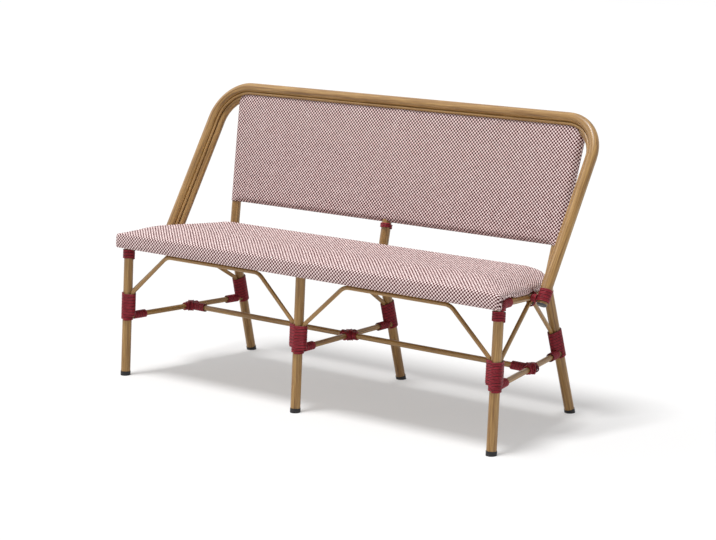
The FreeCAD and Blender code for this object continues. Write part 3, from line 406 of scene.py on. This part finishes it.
def winding_path(circles, turns):
    """Points along a cord wound up local Z round bars (x, y, radius), and the turn that each is in."""
    arcs = loop_arcs([(x, y, r + CORD_R + CORD_GAP) for x, y, r in circles])
    flat = []
    for index, (centre, radius, first, last) in enumerate(arcs):
        steps = max(3, int((last - first) * radius / 1.8))
        for angle in np.linspace(first, last, steps, endpoint=len(arcs) > 1):
            flat.append(centre + radius * np.array([math.cos(angle), math.sin(angle)]))
        following = arcs[(index + 1) % len(arcs)]
        end = flat[-1]
        start = following[0] + following[1] * np.array([math.cos(following[2]), math.sin(following[2])])
        gap = np.linalg.norm(start - end)
        if len(arcs) > 1 and gap > 6:
            for share in np.linspace(0, 1, int(gap / 4) + 1, endpoint=False)[1:]:
                flat.append(end + (start - end) * share)
    flat = np.array(flat)
    loop = np.linalg.norm(np.roll(flat, -1, axis=0) - flat, axis=1)
    turn = np.concatenate([[0.0], np.cumsum(np.tile(loop, int(turns)))[:-1]]) / loop.sum()
    return np.column_stack([np.tile(flat, (int(turns), 1)), turn * CORD_PITCH]), turn


def ring_path(half_length, half_height, exponent=2.6):
    """A closed flattened loop in local X and Z, its ends overlapping a little."""
    angle = np.linspace(0, 2 * math.pi * 1.03, 60)
    c, d = np.cos(angle), np.sin(angle)
    power = 2 / exponent
    path = np.column_stack([np.sign(c) * abs(c) ** power * half_length, np.zeros(60),
                            np.sign(d) * abs(d) ** power * half_height])
    return path, np.zeros(60)


def sweep(path, turn, around, across, rise, sides=10):
    """A tube along points, with UVs of the turn and the place across the cord, and tapered ends."""
    tangent = np.gradient(path, axis=0)
    tangent /= np.linalg.norm(tangent, axis=1)[:, None]
    upward = around - tangent * (tangent @ around)[:, None]
    upward /= np.linalg.norm(upward, axis=1)[:, None]
    outward = np.cross(tangent, upward)
    angle = np.linspace(0, 2 * math.pi, sides, endpoint=False)
    taper = np.ones(len(path))
    taper[[0, -1]] = 0.55
    taper[[1, -2]] = 0.85
    rings = (path[:, None, :]
             + upward[:, None, :] * (np.cos(angle) * across)[None, :, None] * taper[:, None, None]
             + outward[:, None, :] * (np.sin(angle) * rise)[None, :, None] * taper[:, None, None])
    count = len(path)
    uv = np.stack([np.repeat(turn[:, None] + 0.0005, sides, axis=1),
                   np.repeat(np.cos(angle)[None, :], count, axis=0)], axis=-1).reshape(-1, 2)
    ring = np.arange(sides)
    base = (np.arange(count - 1) * sides)[:, None]
    a, b = base + ring, base + (ring + 1) % sides
    faces = np.stack([a, b, b + sides, a + sides], axis=-1).reshape(-1, 4).tolist()
    faces.append(list(range(sides))[::-1])
    faces.append(list(range((count - 1) * sides, count * sides)))
    return rings.reshape(-1, 3), faces, uv


def binding(node, windings):
    """One node's cords: each an origin, local axes, a path with its turns, and the way its pairs lie."""
    verts, faces, uv = [], [], []
    for origin, x_axis, y_axis, (path, turn), around in windings:
        local, quads, places = sweep(path, turn, np.asarray(around, dtype=float), CORD_R * 1.1, CORD_R)
        start = sum(len(v) for v in verts)
        axes = np.column_stack([x_axis, y_axis, np.cross(x_axis, y_axis)])
        verts.append(local @ axes.T + origin)
        uv.append(places * 1000.0)
        faces += [[index + start for index in face] for face in quads]
    return piece(node + "_cord", np.vstack(verts), faces, cord_finish, [node],
                 np.vstack(uv))


def wound(place, circles, turns):
    """A plain winding up local Z."""
    return (*place, winding_path(circles, turns), UP)


def level(start, direction):
    """Origin and axes of a winding along a bar, its local X kept level."""
    z_axis = unit(direction)
    x_axis = unit(np.cross(UP, z_axis)) if abs(z_axis[2]) < 0.9 else unit(X - z_axis * z_axis[0])
    return start, x_axis, np.cross(z_axis, x_axis)


arch_offset = LEG_R + ARCH_R + TOUCH
bundle_reach = arch_offset + ARCH_R + 2 * CORD_R + CORD_GAP


def binding_start(rake):
    """The height on a leg's axis where its turns clear the stretcher below the leaning bundle."""
    tilt_drop = bundle_reach * math.sin(math.radians(rake))
    return STRETCHER_Z + STRETCHER_R + 3 * CORD_R + 2 * CORD_GAP + tilt_drop


def even_loop(circles, count):
    """Evenly spaced points round the bars (x, y, radius) of a bundle, from its local front."""
    flat = winding_path(circles, 1)[0][:, :2]
    closed = np.vstack([flat, flat[:1]])
    length = np.concatenate([[0.0], np.cumsum(np.linalg.norm(np.diff(closed, axis=0), axis=1))])
    first = int(np.argmin(abs(np.arctan2(flat[:, 1], flat[:, 0]) + math.pi / 2)))
    places = (np.linspace(0, 1, count, endpoint=False) * length[-1] + length[first]) % length[-1]
    return np.column_stack([np.interp(places, length, closed[:, k]) for k in (0, 1)])


def sleeve(base, leg_up, circles, above, below, joint, run, room):
    """Turns round a bundle, and below them turns that close in on its main bar.
    All keep clear, by the room given, of a bar that joins it."""
    _, x_axis, y_axis = level(base, leg_up)
    count, closing_turns, shortest = 84, 3.0, 8
    points, turns = [], []
    for turn in range(-below, above):
        closing = float(ease((turn + below - 0.5) / closing_turns))
        bars = [circles[0]] + [(x * closing, y * closing, r) for x, y, r in circles[1:]
                               if arch_offset * closing > LEG_R - r + 1.0]
        loop = even_loop(bars, count)
        climb = (turn + np.arange(count) / count) * CORD_PITCH
        points.append(base + loop[:, :1] * x_axis + loop[:, 1:] * y_axis + climb[:, None] * leg_up)
        turns.append(turn + below + np.arange(count) / count)
    points, turns = np.vstack(points), np.concatenate(turns)
    reach = (points - joint) @ run
    aside = np.linalg.norm(points - joint - reach[:, None] * run, axis=1)
    clear = (reach < 0) | (aside > room)
    edges = np.flatnonzero(np.diff(np.concatenate([[False], clear, [False]]).astype(int)))
    windings = []
    for first, last in zip(edges[::2], edges[1::2]):
        if last - first > shortest:
            windings.append((np.zeros(3), X, np.array([0.0, 1.0, 0.0]),
                             (points[first:last], turns[first:last]), leg_up))
    return windings


def crossing_knot(centre, run):
    """Diagonal loops over the middle of a stretcher crossing, the second set over the first."""
    loops = []
    half_length, over, pitch = 13.6, 3.6, 2.2 * CORD_R
    for lift, diagonal in ((0.0, unit(run + X)), (over, unit(run - X))):
        aside = unit(np.cross(UP, diagonal))
        for step in (-1.5, -0.5, 0.5, 1.5):
            offset = step * pitch
            path = ring_path(half_length + abs(offset) + lift * 0.5, STRETCHER_R + CORD_R + CORD_GAP + lift)
            loops.append((centre + aside * offset, diagonal, np.cross(UP, diagonal), path, (0.0, 1.0, 0.0)))
    return loops


def leg_to_rail(swing, past, bulge):
    """A length past the leg's radius that turns into one past the rail's, fuller between them."""
    at_leg, at_rail = (LEG_R + past) * math.cos(swing) ** 2, (RAIL_R + past) * math.sin(swing) ** 2
    return at_leg + at_rail + bulge * math.sin(2 * swing)


def corner_fan(corner, side):
    """Strands that close the corner between a front leg and its side rail, fanned about its inside."""
    fan = []
    inward, stand_off = 6.0, CORD_R + CORD_GAP
    pivot = corner + seat_back * (LEG_R + inward) - seat_up * (RAIL_R + inward)
    angle = np.radians(np.linspace(-25, 122, 34))
    still = np.zeros(len(angle))
    for share in np.linspace(0.06, 0.97, 9):
        swing = share * math.pi / 2
        outward = -seat_back * math.cos(swing) + seat_up * math.sin(swing)
        depth = leg_to_rail(swing, inward, 7.0)
        reach = leg_to_rail(swing, stand_off, 5.5)
        width = leg_to_rail(swing, stand_off, 1.6)
        path = np.column_stack([depth - reach * np.cos(angle), side * width * np.sin(angle), still])
        fan.append((pivot, outward, X, (path, still), UP))
    return fan


def bar(radius):
    return [(0.0, 0.0, radius)]


stretcher_room = STRETCHER_R + CORD_R + 2.4
crossing_start = STRETCHER_R + 2 * CORD_R + 2 * CORD_GAP
long_start = STRETCHER_R + 4 * CORD_R + CORD_GAP
end_windings = []
for row, side in ROWS.items():
    start, end = front_axis(side * FRONT_LEG_X, STRETCHER_Z), rear_axis(side, STRETCHER_Z)
    run = unit(end - start)
    bundle = bar(LEG_R) + ([(0.0, arch_offset, ARCH_R)] if side else [])
    bundle += [(way * arch_offset, 0.0, ARCH_R) for way in (-1, 1) if way != side]
    front_base = front_axis(side * FRONT_LEG_X, binding_start(FRONT_RAKE))
    binding(f"front_leg_binding_{row}",
            sleeve(front_base, front_up, bundle, 12, 6, start, run, stretcher_room))
    bundle = bar(LEG_R) + [(0.0, -arch_offset, ARCH_R)]
    rear_base = rear_axis(side, binding_start(REAR_RAKE))
    binding(f"rear_leg_binding_{row}",
            sleeve(rear_base, rear_way(side), bundle, 11, 7, end, -run, stretcher_room))
    for base, way in ((start, run), (end, -run)):
        end_windings.append(wound(level(base + way * (LEG_R + 3.2 * CORD_R), way), bar(STRETCHER_R), 10))
    crossing = start + (end - start) * (start[1] / (start[1] - end[1]))
    windings = [wound(level(crossing + way * crossing_start, way), bar(STRETCHER_R), 3)
                for way in (run, -run)]
    long_turns = 10 if side else 3
    for way in (-1, 1):
        if way != side:
            long_place = level(crossing + X * (way * long_start), X * way)
            windings.append(wound(long_place, bar(STRETCHER_R), long_turns))
    binding(f"stretcher_crossing_binding_{row}", windings + crossing_knot(crossing, run))
binding("stretcher_end_bindings", end_windings)

corner_turns, arch_turns, post_turns = 6, 3, 3
arch_windings = []
arch_bundle = bar(RAIL_R) + [(0.0, -(RAIL_R + ARCH_R + TOUCH), ARCH_R + 1.0)]
for side_name, side in SIDES.items():
    corner = on_seat(side * FRONT_LEG_X, 0)
    rail_end = on_seat(side * side_rail_x(seat_run), seat_run)
    rail_way = unit(rail_end - corner)
    drop = RAIL_R + 4 * CORD_R + corner_turns * CORD_PITCH
    leg_base = front_axis(side * FRONT_LEG_X, FRONT_RAIL_Z) - front_up * drop
    binding(f"seat_corner_binding_{side_name}",
            [wound(level(leg_base, front_up), bar(LEG_R), corner_turns),
             wound(level(corner + rail_way * (LEG_R + 2 * CORD_R), rail_way), bar(RAIL_R), 8)]
            + corner_fan(corner, side))
    arm_foot = HOOP_TOP + X * (side * HOOP_X) - arm_up * arm_cross
    boss = on_seat(side * (side_rail_x(arm_cross_y) + RAIL_R + 2.4), arm_cross_y)
    boss_room = BOSS_R + CORD_R + 0.8
    binding(f"arm_binding_{side_name}",
            sleeve(arm_foot, arm_up, bar(HOOP_R), 6, 2, arm_foot, -X * side, boss_room)
            + [wound(level(boss, X * side), bar(BOSS_R + 2.5), 4)])
    low = ARCH_SETBACK - arch_turns * CORD_PITCH / 2
    base = on_seat(side * side_rail_x(low), low)
    arch_place = (base, np.cross(seat_up, unit(rail_end - base)), seat_up)
    arch_windings.append(wound(arch_place, arch_bundle, arch_turns))
binding("arch_top_bindings", arch_windings)
post_base = panel_origin - post_up * (2 * CORD_R + post_turns * CORD_PITCH)
binding("centre_post_binding", [wound(level(post_base, post_up), bar(LEG_R), post_turns)])


# Seat: one woven cover over the cushion and down the front

BOARD = 11.0
PAD_BOTTOM = RAIL_R + TOUCH + BOARD + TOUCH
PAD_SEAM = PAD_BOTTOM + 3
PAD_REAR = seat_run + RAIL_R - 4.0
CORNER_Y = PAD_REAR - SEAT_CORNER
SKIRT_LOW, SKIRT_BACK, SKIRT_ROUND, SKIRT_END = -12.5, -14.7, 10.0, 11.0
RIM, RIM_RISE, RIM_ROUND = 6.5, 6.0, 8.0
CROWN, CROWN_FALL = 30.0, 3.0
SIDE_SWELL, REAR_SWELL, FRONT_SWELL, EDGE_SWELL = 110.0, 50.0, 110.0, 18.0
ROLL_GAP, ROLL_ROUND, CORD_LIFT, CORNER_CORDS = 0.9, 7.0, 4.3, 36.0
HEM_DROP, HEM_FRONT, HEM_REAR, HEM_OUT, HEM_IN = 9.5, 14.0, 250.0, 31.5, 40.0
NIP, NIP_Y, NIP_HALF = 5.0, 215.0, 75.0
INNER_MARGIN = 60.0


def quarter(value):
    """0 to 1 along a quarter circle."""
    return np.sqrt(np.clip(1 - (1 - np.clip(value, 0, 1)) ** 2, 0, 1))


def seat_line(y):
    """Half the seat's width along its straight side, drawn in where the arm passes."""
    plain = SEAT_HALF - SEAT_TAPER / 2 * (y - SEAT_FRONT) / (PAD_REAR - SEAT_FRONT)
    return plain - NIP * ease((NIP_HALF - abs(y - NIP_Y)) / 30.0)


def seat_half(y):
    """Half the seat's width, with its rear corner rounded."""
    beyond = np.clip(y - CORNER_Y, 0, SEAT_CORNER)
    return seat_line(y) - SEAT_CORNER + np.sqrt(SEAT_CORNER ** 2 - beyond ** 2)


def seat_edge(x, y):
    """How far a point is inside the seat's sides and rear."""
    line = seat_line(y)
    side_gap, rear_gap = line - abs(x), PAD_REAR - y
    cx, cy = abs(x) - (line - SEAT_CORNER), y - CORNER_Y
    if cx > 0 and cy > 0:
        edge = SEAT_CORNER - math.hypot(cx, cy)
    else:
        edge = min(side_gap, rear_gap)
    return max(edge, 0.0)


def swell(depth, width):
    """0 at an edge to 1 at a width inside it, level there."""
    return 1 - (1 - np.clip(depth / width, 0, 1)) ** 2


def pad_top(x, y):
    """The cover's top: a rounded rim, and a crown that swells from every edge."""
    edge = seat_edge(x, y)
    back = (y - SEAT_FRONT) / (PAD_REAR - SEAT_FRONT)
    crown = (CROWN - CROWN_FALL * back) * swell(seat_line(y) - abs(x), SIDE_SWELL)
    crown *= swell(PAD_REAR - y, REAR_SWELL)
    crown *= swell(y - SEAT_FRONT, FRONT_SWELL) * swell(edge, EDGE_SWELL)
    return PAD_SEAM + (RIM + RIM_RISE * back) * quarter(edge / RIM_ROUND) + crown


def pad_bottom(x, y):
    """The cover's underside: rolled down to the rails and lifted over the cords there.
    A hem hangs inside each side rail."""
    edge = seat_edge(x, y)
    along_side = ease((y - HEM_FRONT) / 12.0) * ease((HEM_REAR - y) / 20.0)
    along_side *= float(edge == seat_line(y) - abs(x))
    hem = HEM_DROP * ease((edge - HEM_OUT) / 2.0) * ease((HEM_IN - edge) / 2.5) * along_side
    at_corner, at_arch = 34.0 - abs(y - CORNER_CORDS), 24.0 - abs(y - ARCH_SETBACK)
    low = RAIL_R + ROLL_GAP + CORD_LIFT * max(ease(at_corner / 10.0), ease(at_arch / 10.0))
    roll = PAD_SEAM - (PAD_SEAM - low) * quarter(edge / ROLL_ROUND)
    return roll + (PAD_BOTTOM - roll) * ease((edge - 38.0) / 4.5) - hem


def seat_section():
    """Rows of the cover's section: a kind with its own coordinates, from the rear over the top and down."""
    rows = []
    rear_steps = [0, 0.5, 1.5, 3, 5, 7.5, 10.5, 14, 18, 23, 29, 36, 38, 40, 42.5]
    rows += [("top", PAD_REAR - step) for step in rear_steps]
    front_edge = SEAT_FRONT + SKIRT_ROUND
    rows += [("top", y) for y in np.linspace(PAD_REAR - 47, front_edge, 54)]
    rows += [("round", angle) for angle in np.radians(np.arange(12, 91, 13))]
    rows += [("face", share) for share in np.linspace(0.12, 1.0, 9)]
    rows += [("under", angle) for angle in np.radians(np.arange(20, 181, 20))]
    rows += [("inner", share) for share in np.linspace(0.2, 1.0, 5)]
    rows += [("bottom", y) for y in np.linspace(SKIRT_BACK + 2, PAD_REAR - 47, 40)]
    rows += [("bottom", PAD_REAR - step) for step in rear_steps[:0:-1]]
    return rows


def seat_point(kind, value, edge_step, share):
    """A point of the cover for one row: edge_step in from the side, or a share of the inner width."""
    row_y = value if kind in ("top", "bottom") else SEAT_FRONT
    half = float(seat_half(row_y))
    if edge_step is None:
        x = share * (half - INNER_MARGIN)
    else:
        x = math.copysign(half - edge_step, share)
    if kind == "top":
        return x, value, pad_top(x, value)
    if kind == "bottom":
        return x, value, pad_bottom(x, value)
    inside = float(quarter((half - abs(x)) / SKIRT_END))
    middle = (SEAT_FRONT + SKIRT_BACK) / 2
    front, back = middle + (SEAT_FRONT - middle) * inside, middle + (SKIRT_BACK - middle) * inside
    crest = pad_top(x, SEAT_FRONT + SKIRT_ROUND)
    round_off = SKIRT_ROUND * inside
    curl = (SKIRT_BACK - SEAT_FRONT) / 2 * inside
    low = SKIRT_LOW + curl
    if kind == "round":
        return (x, front + round_off * (1 - math.sin(value)),
                crest - round_off * (1 - math.cos(value)))
    if kind == "face":
        top = crest - round_off
        bulge = 0.6 * math.sin(math.pi * value) * inside
        return x, front - bulge, top + (low - top) * value
    if kind == "under":
        return x, middle - curl * math.cos(value), low - curl * math.sin(value)
    target = pad_bottom(x, SKIRT_BACK + 2)
    return x, back, low + (target - low) * value


def seat_cover():
    """The cover as one grid closed round its section, with UVs measured along the cloth."""
    rows = seat_section()
    edge_steps = [0, 0.4, 1.2, 2.4, 4, 6, 8.5, 11.5, 15, 20, 27, 31.5, 33.5, 36, 38, 40, 42.5, 48]
    columns = [(step, -1.0) for step in edge_steps]
    columns += [(None, share) for share in np.linspace(-1, 1, 150)]
    columns += [(step, 1.0) for step in edge_steps[::-1]]
    grid = np.array([[seat_point(kind, value, step, share) for step, share in columns]
                     for kind, value in rows])
    count_r, count_c = grid.shape[:2]
    middle = count_c // 2
    centre = grid[:, middle]
    along = np.concatenate([[0], np.cumsum(np.linalg.norm(np.diff(centre, axis=0), axis=1))])
    steps = np.linalg.norm(np.diff(grid[:, :, [0, 2]], axis=1), axis=2)
    across = np.concatenate([np.zeros((count_r, 1)), np.cumsum(steps, axis=1)], axis=1)
    across -= across[:, [middle]] - grid[:, [middle], 0]
    uv = np.stack([across, np.repeat(along[:, None], count_c, axis=1)], axis=-1)
    faces = []
    for i in range(count_r):
        k = (i + 1) % count_r
        for j in range(count_c - 1):
            faces.append((i * count_c + j, k * count_c + j, k * count_c + j + 1, i * count_c + j + 1))
    cover = piece("seat_cover", grid.reshape(-1, 3), faces, weave,
                  ["seat_cushion", "seat_front_roll"], uv.reshape(-1, 2),
                  placement(front_rail, X, seat_back))
    shape = bmesh.new()
    shape.from_mesh(cover.data)
    bmesh.ops.remove_doubles(shape, verts=shape.verts, dist=0.00002)
    bmesh.ops.recalc_face_normals(shape, faces=shape.faces)
    shape.to_mesh(cover.data)
    shape.free()


seat_cover()


# Back: a front and a rear cloth stretched over the posts and rails

def hoop_distance(p, inset, forward):
    """Distance of a point from the axis of one tube of the hoop, and its reach from the corner's centre."""
    bend = HOOP_CORNER - inset
    across = abs(p[0]) - (HOOP_X - inset - bend)
    rise = (p - HOOP_TOP) @ arm_up + inset + bend
    out = (p - HOOP_TOP) @ hoop_front - forward
    reach = math.hypot(max(across, 0.0), max(rise, 0.0))
    return math.hypot(reach - bend, out), reach - bend


def post_x(rise):
    """How far an outer post is from the middle, by its rise above the bend's corner."""
    return REAR_LEG_X + rise * SPLAY


def panel_point(column, height, facing, lift=0.0):
    """A point of a cloth: columns -1 to 1 lie between the posts, beyond that they turn round them."""
    radius = CLOTH_OUT + lift
    half = post_x(panel_start + height)
    angle = max(abs(column) - 1.0, 0.0) * math.pi / 2
    x = min(abs(column), 1.0) * half + radius * math.sin(angle)
    forward = radius * math.cos(angle)
    return panel_origin + X * math.copysign(x, column) + post_front * (forward * facing) + post_up * height


def cloth_across(column, height):
    """The distance along the cloth from its middle."""
    level_run = min(abs(column), 1.0) * post_x(panel_start + height)
    turned = max(abs(column) - 1.0, 0.0) * CLOTH_OUT * math.pi / 2
    return math.copysign(level_run + turned, column)


bead_top = HOOP_TOP - arm_up * bead_in + hoop_front * bead_forward
front_top = (bead_top - panel_origin) @ post_up - BEAD_R - 0.5
rear_top = (inner_top - panel_origin) @ post_up
CLOTH_CLEAR = 0.6


def cloth_top(column, facing):
    """The height where the cloth ends: under the bead in front, behind the inner tube at the rear."""
    limit = front_top if facing > 0 else rear_top
    height = 240.0
    while height < limit:
        p = panel_point(column, height, facing)
        bead, past_bead = hoop_distance(p, bead_in, bead_forward)
        inner, past = hoop_distance(p, inner_step, -inner_step)
        if facing > 0 and (bead < BEAD_R + CLOTH_CLEAR or past_bead > -BEAD_R):
            break
        if inner < INNER_R + CLOTH_CLEAR or (facing < 0 and past > 0.0):
            break
        height += 0.5
    return min(height, limit)


def back_cloth(name, facing, node):
    """One cloth from its fold under the lower rail up to the hoop, open round the centre post's collar."""
    slack_depth, ridge_height, collar, post_edge = 2.4, 0.9, 16.5, 568.0
    flat = np.linspace(-1, 1, 173)
    wrap = 1 + np.linspace(0, 1, 9)[1:]
    columns = np.concatenate([-wrap[::-1], flat, wrap])
    fold = np.radians([88, 75, 60, 45, 30, 15])
    shares = np.linspace(0, 1, 58)
    verts, uv = [], []
    for column in columns:
        top = cloth_top(column, facing)
        foot_x = abs(column) * post_x(panel_start)
        tuck = 1 - float(ease((foot_x - post_edge) / 20.0))
        for angle in fold:
            height = CLOTH_OUT * (1 - math.sin(angle))
            p = panel_point(column, height, facing)
            depth = (p - panel_origin) @ post_front
            verts.append(p - post_front * (depth * tuck * (1 - math.cos(angle))))
            uv.append((cloth_across(column, height), CLOTH_OUT - CLOTH_OUT * angle))
        for share in shares:
            height = CLOTH_OUT + (top - CLOTH_OUT) * share
            span = math.sin(math.pi * min(abs(column), 1.0)) ** 2
            slack = slack_depth * span * 4 * share * (1 - share)
            ridge = ridge_height * math.exp(-(abs(column) * 60.0) ** 2)
            verts.append(panel_point(column, height, facing, ridge - slack))
            uv.append((cloth_across(column, height), height))
    count = len(fold) + len(shares)
    faces = []
    for j in range(len(columns) - 1):
        middle = abs(columns[j] + columns[j + 1]) / 2 * post_x(panel_start)
        for i in range(count - 1):
            if i < 3 and middle < collar:
                continue
            quad = (j * count + i, (j + 1) * count + i, (j + 1) * count + i + 1, j * count + i + 1)
            faces.append(quad if facing > 0 else quad[::-1])
    cloth = piece(name, verts, faces, weave, [node], uv)
    thick = cloth.modifiers.new("thickness", "SOLIDIFY")
    thick.thickness = (CLOTH_OUT - CLOTH_IN) * 0.001 * 0.8
    thick.offset = -1.0
    top = front_top if facing > 0 else rear_top


back_cloth("back_cover_front", 1, "back_cloth_front")
back_cloth("back_cover_rear", -1, "back_cloth_rear")


# Floor, light and camera

FLOOR_TONE, FLOOR_GLOW, FLOOR_SIZE, AMBIENT = 0.8, 0.34, 14.0, 0.36


def seen_straight(tree, low, high):
    """The high value for rays from the camera, a reflection or glass, and the low one for all others."""
    path = tree.nodes.new("ShaderNodeLightPath")
    total = path.outputs["Is Camera Ray"]
    for ray in ("Is Glossy Ray", "Is Transmission Ray"):
        adding = tree.nodes.new("ShaderNodeMath")
        adding.operation = "ADD"
        adding.use_clamp = True
        tree.links.new(total, adding.inputs[0])
        tree.links.new(path.outputs[ray], adding.inputs[1])
        total = adding.outputs[0]
    spread = tree.nodes.new("ShaderNodeMapRange")
    spread.inputs["To Min"].default_value = low
    spread.inputs["To Max"].default_value = high
    tree.links.new(total, spread.inputs["Value"])
    return spread.outputs[0]


def studio_floor():
    """A pale matt floor that keeps the shadow, with a little glow of its own where it is seen."""
    material = bpy.data.materials.new("studio_floor")
    material.use_nodes = True
    tree = material.node_tree
    tree.nodes.clear()
    out = tree.nodes.new("ShaderNodeOutputMaterial")
    matt = tree.nodes.new("ShaderNodeBsdfDiffuse")
    glow = tree.nodes.new("ShaderNodeEmission")
    mix = tree.nodes.new("ShaderNodeMixShader")
    matt.inputs["Color"].default_value = (FLOOR_TONE, FLOOR_TONE, FLOOR_TONE, 1)
    glow.inputs["Color"].default_value = (1, 1, 1, 1)
    tree.links.new(seen_straight(tree, 0.0, FLOOR_GLOW), mix.inputs[0])
    tree.links.new(matt.outputs[0], mix.inputs[1])
    tree.links.new(glow.outputs[0], mix.inputs[2])
    tree.links.new(mix.outputs[0], out.inputs["Surface"])
    mesh = bpy.data.meshes.new("floor")
    corners = [(x * FLOOR_SIZE, y * FLOOR_SIZE, 0) for x, y in ((-1, -1), (1, -1), (1, 1), (-1, 1))]
    mesh.from_pydata(corners, [], [(0, 1, 2, 3)])
    mesh.materials.append(material)
    floor = bpy.data.objects.new("floor", mesh)
    scene.collection.objects.link(floor)


def studio_world():
    """Soft light from all round, white where it is seen."""
    world = bpy.data.worlds.new("studio")
    scene.world = world
    world.use_nodes = True
    tree = world.node_tree
    tree.nodes.clear()
    out = tree.nodes.new("ShaderNodeOutputWorld")
    back = tree.nodes.new("ShaderNodeBackground")
    back.inputs["Color"].default_value = (1, 1, 1, 1)
    tree.links.new(seen_straight(tree, AMBIENT, 1.0), back.inputs["Strength"])
    tree.links.new(back.outputs[0], out.inputs["Surface"])


def lamp(name, toward, strength, spread):
    """A large soft lamp far away in one direction."""
    light = bpy.data.lights.new(name, "SUN")
    light.energy = strength
    light.angle = math.radians(spread)
    made = bpy.data.objects.new(name, light)
    scene.collection.objects.link(made)
    made.rotation_euler = Vector(toward).to_track_quat("Z", "Y").to_euler()


def photo_camera():
    """The photo's own view, solved from it."""
    camera = bpy.data.cameras.new("photo_camera")
    camera.sensor_fit = "HORIZONTAL"
    camera.sensor_width = 36.0
    camera.lens = 103.97
    camera.clip_end = 60.0
    made = bpy.data.objects.new("photo_camera", camera)
    scene.collection.objects.link(made)
    azimuth, elevation, roll = math.radians(39.22), math.radians(11.41), math.radians(-0.07)
    place = (3.6887, -4.4812, 1.5405)
    look = Vector((-math.sin(azimuth) * math.cos(elevation), math.cos(azimuth) * math.cos(elevation),
                   -math.sin(elevation)))
    turn = look.to_track_quat("-Z", "Y").to_matrix().to_4x4() @ Matrix.Rotation(roll, 4, "Z")
    made.matrix_world = Matrix.Translation(place) @ turn
    scene.camera = made


studio_floor()
studio_world()
lamp("key", (-0.1, -0.2, 1.0), 2.85, 16.0)
lamp("fill", (-0.85, -0.35, 0.45), 0.6, 45.0)
photo_camera()
scene.view_settings.view_transform = "Standard"

bpy.context.view_layer.update()
